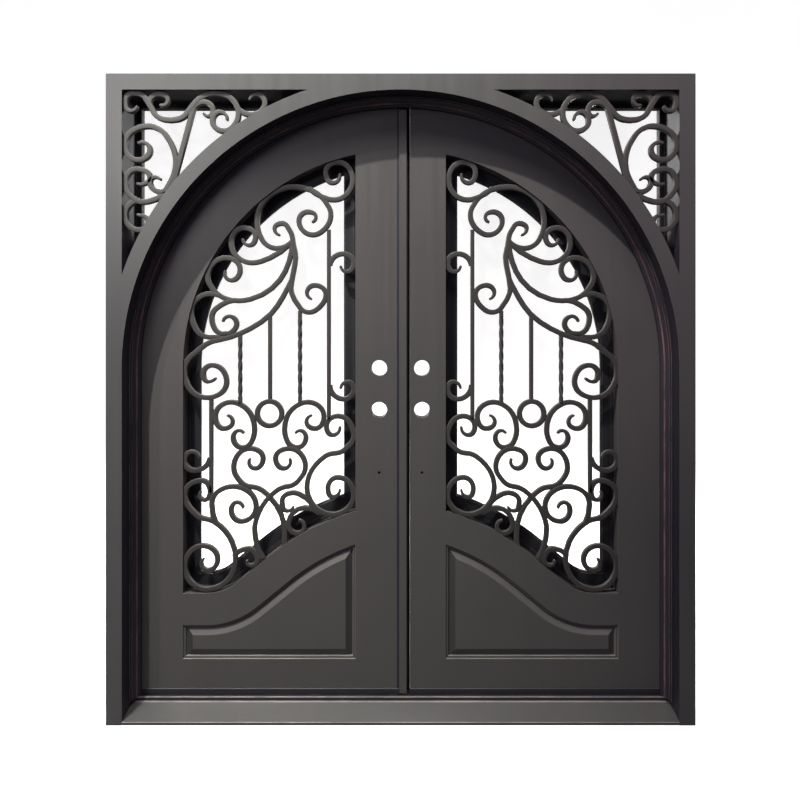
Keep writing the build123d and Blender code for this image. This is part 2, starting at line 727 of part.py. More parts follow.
RING_SCROLL = [
    (172.5, -49), (168, -55, PLUMB), (176.5, -62, LEVEL), (185.5, -50, PLUMB), (169.5, -35.5, LEVEL),
    (155.5, -41), (146, -63, PLUMB), (158.5, -81, LEVEL), (167.5, -71, PLUMB), (161.5, -64, LEVEL),
    (157.5, -66),
]
HEART_SIDE = [
    (151, -93), (145.5, -102, LEVEL), (137.5, -92, PLUMB), (150.5, -82, LEVEL), (167, -101, PLUMB),
    (159.5, -116), (138.5, -124), (130.5, -131), (119.5, -148), (115.5, -168), (117.5, -184),
]
HEART_LOCK = [
    (110.5, -93), (116.5, -102, LEVEL), (125, -92, PLUMB), (111.5, -82, LEVEL), (95, -100, PLUMB),
    (102.5, -115), (123.5, -124), (142.5, -148), (146, -163, PLUMB), (143.5, -179), (137.5, -192),
]
UPPER_HINGE_CURL = [
    (201.5, -90), (208.5, -85, LEVEL), (216.5, -94, PLUMB), (205.5, -104, LEVEL), (190.5, -91),
]
FOOT_SCROLL = [
    (200.5, -126), (196, -133.5, LEVEL), (190.5, -125, PLUMB), (199.5, -114, LEVEL), (216, -128, PLUMB),
    (203.5, -149), (185.5, -156), (168.5, -176), (165, -193, PLUMB), (193.5, -223, LEVEL),
    (216, -200, PLUMB), (197.5, -179.5, LEVEL), (183, -193, PLUMB), (192.5, -204, LEVEL), (197.5, -193),
]
INNER_FOOT_SCROLL = [
    (184.5, -158), (189, -138, PLUMB), (167.5, -120, LEVEL), (144.5, -140, PLUMB), (159.5, -155, LEVEL),
    (169.5, -144, PLUMB), (163.5, -136, LEVEL), (157.5, -141),
]
LOW_FOOT_CURL = [
    (166.5, -190), (152.5, -182.5, LEVEL), (143, -193, PLUMB), (149.5, -199, LEVEL), (153.5, -195),
]
RING_CENTRE = (131, -47)

TWO_EYED = (PLUME, LONG_SIDE_SCROLL, LOCK_SIDE_SCROLL, RING_SCROLL, FOOT_SCROLL)
EYE_FIRST = (
    TOP_CORNER_SCROLL, CROWN_SCROLL, UPPER_SIDE_SCROLL, MIDDLE_SIDE_SCROLL, LOW_LOCK_CURL, HEART_SIDE,
    HEART_LOCK, UPPER_HINGE_CURL,
)
EYE_LAST = (INNER_CURL, UPPER_LOCK_CURL, LOWER_LOCK_CURL, FOOT_LOCK_CURL, INNER_FOOT_SCROLL, LOW_FOOT_CURL)

# Upright bars, as (across, low end, high end), and the one that stands on the ring
LOCK_UPRIGHT = (71.5, -53, 137)
RING_UPRIGHT = (130.5, 52)
HINGE_UPRIGHT = (189.5, -126, -29)
TWISTED_UPRIGHTS = ((100.5, -37, 56), (160.5, -37, 34))


def upright_face(across, low, high):
    (x, z_low), (_, z_high) = on_leaf([(across, low), (across, high)])
    return rectangle(x - UPRIGHT_WIDTH / 2, x + UPRIGHT_WIDTH / 2, z_low, z_high)


def twist_ends(across, low, high):
    """Centre of a twisted bar, and the heights between which it is twisted."""
    (x, z_low), (_, z_high) = on_leaf([(across, low), (across, high)])
    return x, z_low + TWIST_STUB, z_high - TWIST_STUB


def across_ring(stations):
    """The same stations on the other side of the ring's upright centre line."""
    return [(2 * RING_CENTRE[0] - across, up, *mark) for across, up, *mark in stations]


def leaf_scroll_faces():
    faces = [bar_face(on_leaf(stations), EYE_WIDTH, EYE_WIDTH) for stations in TWO_EYED]
    faces.append(bar_face(on_leaf(across_ring(RING_SCROLL)), EYE_WIDTH, EYE_WIDTH))
    faces += [bar_face(on_leaf(stations), EYE_WIDTH, BAR_WIDTH) for stations in EYE_FIRST]
    faces += [bar_face(on_leaf(stations), BAR_WIDTH, EYE_WIDTH) for stations in EYE_LAST]
    faces.append(bar_face(on_leaf(SIDE_LINK)))
    return faces


def ring_face():
    x, z = on_leaf([RING_CENTRE])[0]
    outer = RegularPolygon(RING_RADIUS + BAR_WIDTH / 2, RING_SIDES)
    inner = RegularPolygon(RING_RADIUS - BAR_WIDTH / 2, RING_SIDES)
    return Pos(x, z) * (outer - inner)


def ring_upright_face():
    """Upright bar that stands on the ring."""
    across, high = RING_UPRIGHT
    (x, z_high), (_, ring_z) = on_leaf([(across, high), RING_CENTRE])
    return rectangle(x - UPRIGHT_WIDTH / 2, x + UPRIGHT_WIDTH / 2, ring_z + RING_RADIUS, z_high)


def leaf_grille():
    """All the scrolls and plain uprights, welded into one grille and let into the opening."""
    faces = leaf_scroll_faces()
    faces.append(ring_face())
    faces.append(ring_upright_face())
    faces += [upright_face(*bar) for bar in (LOCK_UPRIGHT, HINGE_UPRIGHT)]
    pattern = Sketch() + faces
    for across, low, high in TWISTED_UPRIGHTS:
        x, twist_low, twist_high = twist_ends(across, low, high)
        pattern += upright_face(across, low, high)
        pattern -= rectangle(x - UPRIGHT_WIDTH, x + UPRIGHT_WIDTH, twist_low, twist_high)
    pattern &= opening_outline(GRILLE_PLAY)
    y_front = LEAF_FRONT + GRILLE_SETBACK
    return slab(pattern, y_front, y_front + BAR_DEPTH)


def twisted_bar(x, z_low, z_high):
    """Square bar twisted cold through a whole number of quarter turns."""
    middle = LEAF_FRONT + GRILLE_SETBACK + BAR_DEPTH / 2
    quarters = max(1, round(4 * (z_high - z_low) / TWIST_PITCH))
    steps = quarters * round(90 / TWIST_STEP)
    rise = (z_high - z_low) / steps
    square = Rectangle(TWIST_WIDTH, TWIST_WIDTH)
    sections = []
    for step in range(steps + 1):
        sections.append(Pos(x, middle, z_low + step * rise) * Rot(0, 0, 90 * quarters * step / steps) * square)
    return loft(sections, ruled=True)


def twisted_bars():
    return Compound(children=[twisted_bar(*twist_ends(*bar)) for bar in TWISTED_UPRIGHTS])


# Scrolls of the glazed corners, as (across, down) from the corner of jamb and head, which is at
# DRAWN_CORNER_POINT. The corner they were drawn for is DRAWN_CORNER wide.
DRAWN_CORNER = 185
DRAWN_CORNER_POINT = (0.4, 0.5)
CORNER_RUNNER = [
    (14, 16.5), (8, 20.5, LEVEL), (2, 11.5, PLUMB), (10, 3, LEVEL), (19, 4.5), (26, 13.5), (35, 26.5),
    (48, 29.5, LEVEL), (60, 26.5), (68, 17.5), (76, 8.5), (92, 3, LEVEL), (110, 9.5), (115.5, 22.5, PLUMB),
    (114, 30.5), (101, 40.5, LEVEL), (89.5, 30.5, PLUMB), (97, 21.5, LEVEL), (104, 28.5),
]
CORNER_TOP_CURL = [(26, 13.5), (36, 3.5, LEVEL), (45, 9.5, PLUMB), (38, 15)]
CORNER_MIDDLE_CURL = [(71, 16.5), (81, 11.5, LEVEL), (90, 19.5, PLUMB), (86, 25.5), (81, 23.5)]
CORNER_END_CURL = [(113, 15.5), (128, 24, LEVEL), (142, 12.5, PLUMB), (134, 4, LEVEL), (127, 8.5)]
CORNER_BRACE = [(71, 15.5), (50, 94)]
CORNER_SIDE_SCROLL = [
    (53, 72), (47.5, 52), (36, 38.5), (25.5, 35.5, LEVEL), (2, 54, PLUMB), (15, 69.5, LEVEL),
    (27, 59.5, PLUMB), (16, 52.5),
]
CORNER_BRACE_CURL = [
    (52.5, 66), (52, 80), (48, 90.5), (38, 101.5, LEVEL), (27, 91.5, PLUMB), (32, 86.5, LEVEL), (37, 88.5),
]
CORNER_LOW_SCROLL = [
    (15, 93.5), (21, 93.5), (27, 87.5, PLUMB), (14, 78.5, LEVEL), (2, 92.5, PLUMB), (8, 105.5),
    (20, 111.5, LEVEL), (33, 108.5), (43, 103),
]
CORNER_FOOT_CURL = [
    (17, 110), (2, 124.5, PLUMB), (16, 139.5, LEVEL), (25, 132.5, PLUMB), (19, 125, LEVEL), (15, 124.5),
]


CORNER_CURLS = (
    CORNER_TOP_CURL, CORNER_MIDDLE_CURL, CORNER_END_CURL, CORNER_SIDE_SCROLL, CORNER_BRACE_CURL,
    CORNER_FOOT_CURL,
)


def on_corner(stations):
    """Carry stations from the corner's drawing to the left corner opening."""
    outer = ARCH_RADIUS + ARCH_FACE
    scale = (ARCH_RADIUS - sqrt(outer**2 - ARCH_RADIUS**2)) / DRAWN_CORNER
    placed = []
    for across, down, *mark in stations:
        x = -ARCH_RADIUS + (across - DRAWN_CORNER_POINT[0]) * scale
        placed.append((x, HEAD_Z - (down - DRAWN_CORNER_POINT[1]) * scale, *mark))
    return placed


def left_corner_grille():
    faces = [bar_face(on_corner(CORNER_RUNNER), EYE_WIDTH, EYE_WIDTH)]
    faces += [bar_face(on_corner(stations), BAR_WIDTH, EYE_WIDTH) for stations in CORNER_CURLS]
    faces.append(bar_face(on_corner(CORNER_LOW_SCROLL), EYE_WIDTH, BAR_WIDTH))
    faces.append(bar_face(on_corner(CORNER_BRACE)))
    pattern = Sketch() + faces
    pattern &= left_corner_outline(GRILLE_PLAY)
    y_front = FRONT + CORNER_GRILLE_SETBACK
    return slab(pattern, y_front, y_front + BAR_DEPTH)


def write(name, shape):
    export_step(shape, os.path.join("parts", name + ".step"))


def write_pair(name, shape):
    write("left_" + name, shape)
    write("right_" + name, mirrored(shape))


def main():
    os.makedirs("parts", exist_ok=True)
    write_pair("jamb", left_jamb())
    write("head", head())
    write_pair("arch_corner", left_arch_corner())
    write_pair("stop", left_stop())
    write_pair("arch_stop", left_arch_stop())
    write_pair("seal", left_seal())
    write("sill", sill())
    write("sill_stop", sill_stop())
    write_pair("corner_sash", left_corner_sash())
    write_pair("corner_glass", left_corner_glass())
    write_pair("corner_grille", left_corner_grille())
    write_pair("jamb_knuckles", left_jamb_knuckles())

    write_pair("hinge_stile", hinge_stile())
    write_pair("arch_rail", arch_rail())
    write_pair("mid_rail", mid_rail())
    write_pair("bottom_rail", bottom_rail())
    write_pair("panel", raised_panel())
    write_pair("sash", glass_sash())
    write_pair("glass", glass_pane())
    write_pair("leaf_knuckles", leaf_knuckles())
    write_pair("grille", leaf_grille())
    write_pair("twisted_bars", twisted_bars())
    write("left_lock_stile", lock_stile(LEFT_MEETING_X))
    write("right_lock_stile", mirrored(lock_stile(-RIGHT_MEETING_X)))
    write("meeting_strip", meeting_strip())
    write("meeting_seal", meeting_seal())


main()
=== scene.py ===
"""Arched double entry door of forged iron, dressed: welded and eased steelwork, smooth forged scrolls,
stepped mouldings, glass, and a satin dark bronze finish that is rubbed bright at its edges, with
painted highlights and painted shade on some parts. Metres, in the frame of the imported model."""
from math import asin, atan2, cos, degrees, hypot, pi, radians, sin, sqrt, tan

import bmesh
import bpy
from mathutils import Matrix, Vector
from mathutils.geometry import tessellate_polygon


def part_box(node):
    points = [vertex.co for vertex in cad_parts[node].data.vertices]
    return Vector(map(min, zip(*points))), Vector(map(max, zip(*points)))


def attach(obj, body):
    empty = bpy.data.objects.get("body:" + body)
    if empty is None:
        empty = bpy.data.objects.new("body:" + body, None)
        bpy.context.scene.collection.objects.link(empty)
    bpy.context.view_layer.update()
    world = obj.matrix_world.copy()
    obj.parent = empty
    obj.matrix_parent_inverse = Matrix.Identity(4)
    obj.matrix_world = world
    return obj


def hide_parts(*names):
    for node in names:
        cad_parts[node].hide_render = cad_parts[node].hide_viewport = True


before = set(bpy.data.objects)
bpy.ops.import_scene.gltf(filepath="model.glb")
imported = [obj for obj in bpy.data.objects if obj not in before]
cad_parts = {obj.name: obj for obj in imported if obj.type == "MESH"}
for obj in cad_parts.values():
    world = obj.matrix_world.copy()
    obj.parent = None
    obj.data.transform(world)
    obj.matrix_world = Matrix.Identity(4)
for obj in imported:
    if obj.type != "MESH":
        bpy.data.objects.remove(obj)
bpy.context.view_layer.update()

# Sizes read from the frame
JAMB_LOW, JAMB_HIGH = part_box("left_jamb")
HEAD_LOW, HEAD_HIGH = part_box("head")
STILE_LOW, STILE_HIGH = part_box("left_hinge_stile")
LOCK_LOW, LOCK_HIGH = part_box("left_lock_stile")
RAIL_LOW, RAIL_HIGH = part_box("left_mid_rail")
SASH_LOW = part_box("left_sash")[0]
CORNER_SASH_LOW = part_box("left_corner_sash")[0]
STOP_LOW, STOP_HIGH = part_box("left_stop")
SILL_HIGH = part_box("sill")[1]
SILL_STOP_LOW, SILL_STOP_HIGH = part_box("sill_stop")
GRILLE_LOW, GRILLE_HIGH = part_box("left_grille")
CORNER_GRILLE_LOW, CORNER_GRILLE_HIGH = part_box("left_corner_grille")
SEAL_LOW, SEAL_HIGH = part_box("meeting_seal")
STRIP_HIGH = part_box("meeting_strip")[1]

FRONT, BACK = JAMB_LOW.y, JAMB_HIGH.y
HALF_WIDTH = -JAMB_LOW.x
FRAME_HEIGHT = HEAD_HIGH.z
ARCH_RADIUS = -JAMB_HIGH.x
HEAD_Z = HEAD_LOW.z
SPRING_Z = HEAD_Z - ARCH_RADIUS
LEAF_FRONT, LEAF_BACK = STILE_LOW.y, STILE_HIGH.y
LEAF_RADIUS = -STILE_LOW.x
LEAF_BOTTOM = STILE_LOW.z
OPENING_RADIUS = -STILE_HIGH.x
OPENING_LOCK_X = -LOCK_LOW.x
LEFT_MEETING_X = LOCK_HIGH.x
RIGHT_MEETING_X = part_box("right_lock_stile")[0].x
PANEL_LOW_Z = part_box("left_bottom_rail")[1].z
CURVE_LOW_Z = SASH_LOW.z
CURVE_HIGH_Z = RAIL_HIGH.z
MID_RAIL = CURVE_LOW_Z - RAIL_LOW.z

# Sizes that the frame doesn't give by a corner
ARCH_FACE = 0.048
CURVE_LOW_RADIUS = 0.160
LOW_KNEE_RUN = 0.135
HIGH_KNEE_RUN = 0.160
HIGH_KNEE_DROP = 0.046
LOCK_HOLE_X = 0.072
LOCK_HOLES = ((0.9953, 0.027), (1.135, 0.027), (0.786, 0.005))  # height and radius
SASH_WIDTH = 0.043
SASH_BOTTOM = 0.056
CORNER_SASH_WIDTH = 0.018
SILL_LIP = 0.010
MM = 0.001

# How far edges are rounded over
FRAME_EASING = 0.0027
SILL_EASING = 0.0022
LEAF_EASING = 0.0016
STRIP_EASING = 0.001
BARREL_EASING = 0.0006

ARC_STEPS = 72  # pieces in a quarter of the arch
BEND_STEPS = 20  # pieces in each bend of the curved rail
HOLE_STEPS = 48
CORNER_STEPS = 48
EASING_STEPS = 3  # pieces in a rounded corner of a section
LEFT, RIGHT = "left", "right"
MIRROR = Matrix.Diagonal((-1, 1, 1, 1))


# Shader building

def plug(tree, socket, value):
    if isinstance(value, bpy.types.NodeSocket):
        tree.links.new(value, socket)
    else:
        socket.default_value = value


def feed(tree, made, **inputs):
    """Give a node's inputs numbers or sockets; keywords name them, with spaces as underscores."""
    for name, value in inputs.items():
        plug(tree, made.inputs[name.replace("_", " ")], value)
    return made


def node(tree, kind, **inputs):
    return feed(tree, tree.nodes.new(kind), **inputs)


def math_node(tree, operation, first, second=0.0, clamp=False):
    made = tree.nodes.new("ShaderNodeMath")
    made.operation = operation
    made.use_clamp = clamp
    plug(tree, made.inputs[0], first)
    plug(tree, made.inputs[1], second)
    return made.outputs[0]


def times(tree, first, second, clamp=False):
    return math_node(tree, "MULTIPLY", first, second, clamp)


def plus(tree, first, second, clamp=False):
    return math_node(tree, "ADD", first, second, clamp)


def minus(tree, first, second):
    return math_node(tree, "SUBTRACT", first, second)


def mix_colour(tree, factor, first, second):
    """Colour between two others, each a socket or red, green and blue."""
    made = tree.nodes.new("ShaderNodeMix")
    made.data_type = "RGBA"
    plug(tree, made.inputs[0], factor)
    for place, colour in ((6, first), (7, second)):
        plug(tree, made.inputs[place], (*colour, 1) if isinstance(colour, tuple) else colour)
    return made.outputs[2]


def spread(tree, value, low, high, to_low=0.0, to_high=1.0):
    """Map a range of values to another, held at both ends."""
    made = node(tree, "ShaderNodeMapRange", Value=value, From_Min=low, From_Max=high, To_Min=to_low,
                To_Max=to_high)
    return made.outputs[0]


def on_piece(tree):
    """Places on the piece itself."""
    return node(tree, "ShaderNodeTexCoord").outputs["Object"]


def noise(tree, where, scale, detail=3.0, rough=0.55):
    made = node(tree, "ShaderNodeTexNoise", Vector=where, Scale=scale, Detail=detail, Roughness=rough)
    return made.outputs["Fac"]


def stretched(tree, where, across, along):
    """Places drawn out upwards, for brush and wipe marks."""
    return node(tree, "ShaderNodeMapping", Vector=where, Scale=(across, across, along)).outputs[0]


def bump(tree, height, strength, distance):
    return node(tree, "ShaderNodeBump", Strength=strength, Distance=distance, Height=height).outputs[0]


def fine_bump(tree, where, scale=260.0):
    return bump(tree, noise(tree, where, scale, 2.0), 0.2, 0.0003)


def worn_patches(tree, where):
    return spread(tree, noise(tree, where, 7.0, 5.0, 0.6), 0.36, 0.66)


def new_group(name, inputs, outputs):
    tree = bpy.data.node_groups.new(name, "ShaderNodeTree")
    for label, kind, default in inputs:
        socket = tree.interface.new_socket(name=label, in_out="INPUT", socket_type=kind)
        socket.default_value = default
    for label, kind in outputs:
        tree.interface.new_socket(name=label, in_out="OUTPUT", socket_type=kind)
    return tree, tree.nodes.new("NodeGroupInput"), tree.nodes.new("NodeGroupOutput")


COLOUR = "NodeSocketColor"
VALUE = "NodeSocketFloat"


def satin_finish_group():
    """Sprayed satin paint: cloudy tone, faint upright wipe marks, and orange peel."""
    tree, given, result = new_group(
        "satin_finish",
        [("Paint", COLOUR, (0.05, 0.05, 0.05, 1)), ("Haze", COLOUR, (0.1, 0.1, 0.1, 1)),
         ("Haze Amount", VALUE, 0.3), ("Roughness", VALUE, 0.4), ("Peel", VALUE, 0.3)],
        [("Colour", COLOUR), ("Roughness", VALUE), ("Height", VALUE)],
    )
    where = on_piece(tree)
    cloud = noise(tree, where, 2.6, 4.0)
    wipe = noise(tree, stretched(tree, where, 46.0, 1.4), 1.0, 3.0)
    grain = noise(tree, where, 310.0, 2.0)
    peel = noise(tree, where, 150.0, 2.0)
    amount = plus(tree, spread(tree, cloud, 0.32, 0.72), times(tree, spread(tree, wipe, 0.42, 0.72), 0.22))
    amount = times(tree, amount, given.outputs["Haze Amount"])
    rough = plus(tree, given.outputs["Roughness"], spread(tree, wipe, 0.3, 0.7, -0.05, 0.05))
    feed(tree, result,
         Colour=mix_colour(tree, amount, given.outputs["Paint"], given.outputs["Haze"]),
         Roughness=plus(tree, rough, spread(tree, grain, 0.3, 0.7, -0.03, 0.03)),
         Height=plus(tree, times(tree, peel, given.outputs["Peel"]), times(tree, grain, 0.12)))
    return tree


def rubbed_group():
    """Where the finish is rubbed through: along outer edges, broken up by an uneven hand."""
    tree, given, result = new_group(
        "rubbed_edges",
        [("Reach", VALUE, 0.003), ("Amount", VALUE, 1.0), ("Uneven", VALUE, 0.5)],
        [("Mask", VALUE)],
    )
    eased = node(tree, "ShaderNodeBevel", Radius=given.outputs["Reach"])
    eased.samples = 6
    dot = tree.nodes.new("ShaderNodeVectorMath")
    dot.operation = "DOT_PRODUCT"
    plug(tree, dot.inputs[0], eased.outputs[0])
    plug(tree, dot.inputs[1], node(tree, "ShaderNodeNewGeometry").outputs["Normal"])
    edge = spread(tree, dot.outputs["Value"], 0.985, 0.80)
    patch = spread(tree, noise(tree, on_piece(tree), 9.0, 4.0, 0.65), 0.38, 0.62)
    uneven = times(tree, minus(tree, 1.0, patch), given.outputs["Uneven"])
    kept = times(tree, edge, minus(tree, 1.0, uneven))
    feed(tree, result, Mask=times(tree, kept, given.outputs["Amount"], True))
    return tree


SATIN = satin_finish_group()
RUBBED = rubbed_group()
COPPER = (0.21, 0.135, 0.115)
SCROLL_COPPER = (0.13, 0.115, 0.108)
LEAF_SCROLL_COPPER = (0.11, 0.097, 0.09)


def new_material(name):
    made = bpy.data.materials.new(name)
    made.use_nodes = True
    return made, made.node_tree, made.node_tree.nodes["Principled BSDF"]


def placed(tree, group, **values):
    made = tree.nodes.new("ShaderNodeGroup")
    made.node_tree = group
    return feed(tree, made, **values)


def bronze_paint(name, paint, haze, haze_amount=0.5, roughness=0.42, rub_colour=COPPER, rub=0.1, reach=0.001,
                 peel=0.3, coat=0.05):
    """Satin dark bronze over iron, rubbed to a copper tone along the edges."""
    made, tree, shader = new_material(name)
    finish = placed(tree, SATIN, Paint=(*paint, 1), Haze=(*haze, 1), Haze_Amount=haze_amount,
                    Roughness=roughness, Peel=peel)
    worn = placed(tree, RUBBED, Reach=reach, Amount=rub, Uneven=0.6).outputs["Mask"]
    feed(tree, shader,
         Base_Color=mix_colour(tree, worn, finish.outputs["Colour"], rub_colour),
         Roughness=minus(tree, finish.outputs["Roughness"], times(tree, worn, 0.08)),
         Metallic=times(tree, worn, 0.25), Coat_Weight=coat, Coat_Roughness=0.3,
         Normal=bump(tree, finish.outputs["Height"], 0.25, 0.0004))
    return made


def worn_and_highlight_metal(name, dark, bright, roughness=0.36):
    """The eased edge itself: copper tone through thinned paint, in patches; the brighter copies also paint a
    highlight.
    """
    made, tree, shader = new_material(name)
    where = on_piece(tree)
    fine = spread(tree, noise(tree, where, 120.0, 3.0), 0.3, 0.7, -0.18, 0.18)
    amount = plus(tree, worn_patches(tree, where), fine, True)
    feed(tree, shader,
         Base_Color=mix_colour(tree, amount, dark, bright),
         Roughness=spread(tree, amount, 0.0, 1.0, roughness + 0.1, roughness),
         Metallic=times(tree, amount, 0.25), Normal=fine_bump(tree, where))
    return made


DOORWAY_REACH = (0.004, 0.006)  # the copper tone fades out between these, from the doorway's wall


def doorway_edge(name, dark, bright, worn_glint_dark, worn_glint_bright, roughness=0.42):
    """Eased edges of the surround: plain paint outside, copper tone along the doorway, partly worn finish and
    partly a painted highlight.
    """
    made, tree, shader = new_material(name)
    where = on_piece(tree)
    patch = worn_patches(tree, where)
    split = node(tree, "ShaderNodeSeparateXYZ", Vector=where)
    across = split.outputs["X"]
    rise = math_node(tree, "MAXIMUM", minus(tree, split.outputs["Z"], SPRING_Z), 0.0)
    radius = math_node(tree, "SQRT", plus(tree, times(tree, across, across), times(tree, rise, rise)))
    inner = spread(tree, radius, ARCH_RADIUS + DOORWAY_REACH[0], ARCH_RADIUS + DOORWAY_REACH[1], 1.0, 0.0)
    plain = mix_colour(tree, patch, dark, bright)
    feed(tree, shader,
         Base_Color=mix_colour(tree, inner, plain, mix_colour(tree, patch, worn_glint_dark, worn_glint_bright)),
         Roughness=spread(tree, patch, 0.0, 1.0, roughness + 0.06, roughness),
         Metallic=times(tree, inner, 0.2), Normal=fine_bump(tree, where))
    return made


def clear_glass():
    """Clear pane with faint upright streaks; a pale veil that thickens at a glance along it paints the pane's
    reflection, besides its own gloss.
    """
    made, tree, shader = new_material("clear_glass")
    streak = noise(tree, stretched(tree, on_piece(tree), 7.0, 0.6), 1.0, 4.0)
    gloss = tree.nodes.new("ShaderNodeLayerWeight")
    gloss.inputs["Blend"].default_value = 0.2
    veil = spread(tree, streak, 0.35, 0.7, 0.05, 0.11)
    feed(tree, shader,
         Base_Color=mix_colour(tree, spread(tree, streak, 0.35, 0.7), (0.90, 0.89, 0.84), (0.70, 0.70, 0.66)),
         Roughness=spread(tree, streak, 0.4, 0.8, 0.03, 0.08),
         Alpha=plus(tree, veil, times(tree, gloss.outputs["Fresnel"], 0.5), True))
    return made


def rubber():
    made, tree, shader = new_material("seal_rubber")
    where = on_piece(tree)
    dust = spread(tree, noise(tree, where, 30.0, 4.0), 0.4, 0.8)
    feed(tree, shader,
         Base_Color=mix_colour(tree, dust, (0.012, 0.012, 0.014), (0.03, 0.029, 0.03)),
         Roughness=spread(tree, dust, 0.0, 1.0, 0.55, 0.75), Normal=fine_bump(tree, where, 200.0))
    return made


FRAME_PAINT = bronze_paint("frame_paint", (0.080, 0.076, 0.078), (0.100, 0.095, 0.094),
                           rub=0.25, reach=0.002, coat=0.1)
LEAF_PAINT = bronze_paint("leaf_paint", (0.079, 0.072, 0.073), (0.095, 0.087, 0.086),
                          rub=0.2, reach=0.002, coat=0.1)
# Lighter and darker copies of the leaf's bronze: painted highlight and painted shade on the raised panel's
# bevel
LIT_PAINT = bronze_paint("lit_paint", (0.106, 0.098, 0.096), (0.130, 0.120, 0.116))
SHADED_PAINT = bronze_paint("shaded_paint", (0.040, 0.036, 0.038), (0.052, 0.047, 0.048))
# Darker, bluish copy of the bronze paint: painted shade on the stop moulding, the surround's hole walls, the
# sill stop, the drips and the line beside the astragal
DARK_SHADE_PAINT = bronze_paint("dark_shade_paint", (0.023, 0.0225, 0.033), (0.032, 0.031, 0.042), rub=0.2)
SASH_PAINT = bronze_paint("sash_paint", (0.012, 0.012, 0.016), (0.020, 0.020, 0.024), 0.4, 0.5,
                          rub=0.05, reach=0.0015, coat=0.0)
SCROLL_PAINT = bronze_paint("scroll_paint", (0.052, 0.047, 0.045), (0.080, 0.073, 0.070), 0.6, 0.5,
                            SCROLL_COPPER, 0.3, 0.002, peel=0.7, coat=0.0)
LEAF_SCROLL_PAINT = bronze_paint("leaf_scroll_paint", (0.041, 0.037, 0.036), (0.063, 0.057, 0.055), 0.6, 0.5,
                                 LEAF_SCROLL_COPPER, 0.3, 0.002, peel=0.7, coat=0.0)
HINGE_PAINT = bronze_paint("hinge_paint", (0.05, 0.047, 0.047), (0.07, 0.066, 0.066), 0.4, 0.38,
                           rub=0.3, reach=0.0015, coat=0.0)
RUBBED_EDGE = worn_and_highlight_metal("rubbed_edge", (0.070, 0.062, 0.062), (0.19, 0.145, 0.13), 0.42)
# Bright copper for the stop moulding's lines: partly worn finish, partly a painted highlight
RUBBED_HIGHLIGHT_LINE = worn_and_highlight_metal("rubbed_highlight_line", (0.085, 0.055, 0.056), (0.46, 0.22, 0.185), 0.40)
RUBBED_SCROLL = worn_and_highlight_metal("rubbed_scroll", (0.055, 0.050, 0.048), (0.098, 0.089, 0.085), 0.48)
DULL_COPPER = worn_and_highlight_metal("dull_copper", (0.020, 0.015, 0.016), (0.048, 0.030, 0.029), 0.55)
# Light grey edge paint: painted highlight along the sill's edges and the top of its slope
PAINTED_HIGHLIGHT_EDGE = worn_and_highlight_metal("painted_highlight_edge", (0.18, 0.165, 0.16), (0.37, 0.32, 0.30), 0.38)
# Lighter edge paint for the panel's lines: partly worn finish, partly a painted highlight
PANEL_EDGE = worn_and_highlight_metal("panel_edge", (0.12, 0.112, 0.108), (0.24, 0.22, 0.21))
# Its copper along the doorway is worn finish brightened into a painted highlight
SURROUND_EDGE = doorway_edge("surround_edge", (0.085, 0.082, 0.083), (0.105, 0.10, 0.10),
                             (0.20, 0.12, 0.11), (0.62, 0.31, 0.25))
GLASS = clear_glass()
RUBBER = rubber()


# Shapes

# Edges sharper than these, in degrees, stay crisp; the sharpest are rounded over
SMOOTH_ANGLE = 32
PANEL_ANGLE = 18
BEAD_ANGLE = 24
PANE_ANGLE = 30
TWIST_ANGLE = 30
DRIP_ANGLE = 30
SILL_ANGLE = 40
BAR_ANGLE = 50
EASED_ANGLE = 35
FLAT_PLATE, FLAT_COPY = 0.5, 1.0  # faces that turn less than this are merged
MERGE_DISTANCE = 0.00002


def in_scene(name, data):
    made = bpy.data.objects.new(name, data)
    bpy.context.scene.collection.objects.link(made)
    return made


def add_materials(mesh, materials):
    for material in materials:
        mesh.materials.append(material)


def smooth_faces(mesh, smooth_angle=SMOOTH_ANGLE):
    for polygon in mesh.polygons:
        polygon.use_smooth = True
    mesh.set_sharp_from_angle(angle=radians(smooth_angle))


def dressed(made, body, replaced):
    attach(made, body)
    if replaced:
        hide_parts(*replaced)
    return made


def piece(name, vertices, faces, materials, body, replaced, marks=None, smooth_angle=SMOOTH_ANGLE,
          mirrored=False):
    """A mesh from lists of corners and faces, riding on a body; marks give each face's material."""
    mesh = bpy.data.meshes.new(name)
    if mirrored:
        vertices = [(-x, y, z) for x, y, z in vertices]
    mesh.from_pydata(vertices, [], faces)
    add_materials(mesh, materials)
    if marks:
        mesh.polygons.foreach_set("material_index", marks)
    work = bmesh.new()
    work.from_mesh(mesh)
    bmesh.ops.recalc_face_normals(work, faces=work.faces)
    work.to_mesh(mesh)
    work.free()
    smooth_faces(mesh, smooth_angle)
    return dressed(in_scene(name, mesh), body, replaced)


def ease_edges(made, width):
    """Round the sharp edges over; the rounding takes the second material."""
    easing = made.modifiers.new("eased", "BEVEL")
    easing.width = width
    easing.segments = 2
    easing.limit_method = "ANGLE"
    easing.angle_limit = radians(EASED_ANGLE)
    easing.material = 1
    easing.harden_normals = True
    easing.use_clamp_overlap = True
    return made


def write_merged(work, mesh, angle):
    """Write the working mesh, with neighbours that lie flat to this angle merged."""
    bmesh.ops.dissolve_limit(work, angle_limit=radians(angle), verts=work.verts, edges=work.edges,
                             use_dissolve_boundaries=False, delimit=set())
    bmesh.ops.recalc_face_normals(work, faces=work.faces)
    work.to_mesh(mesh)
    work.free()


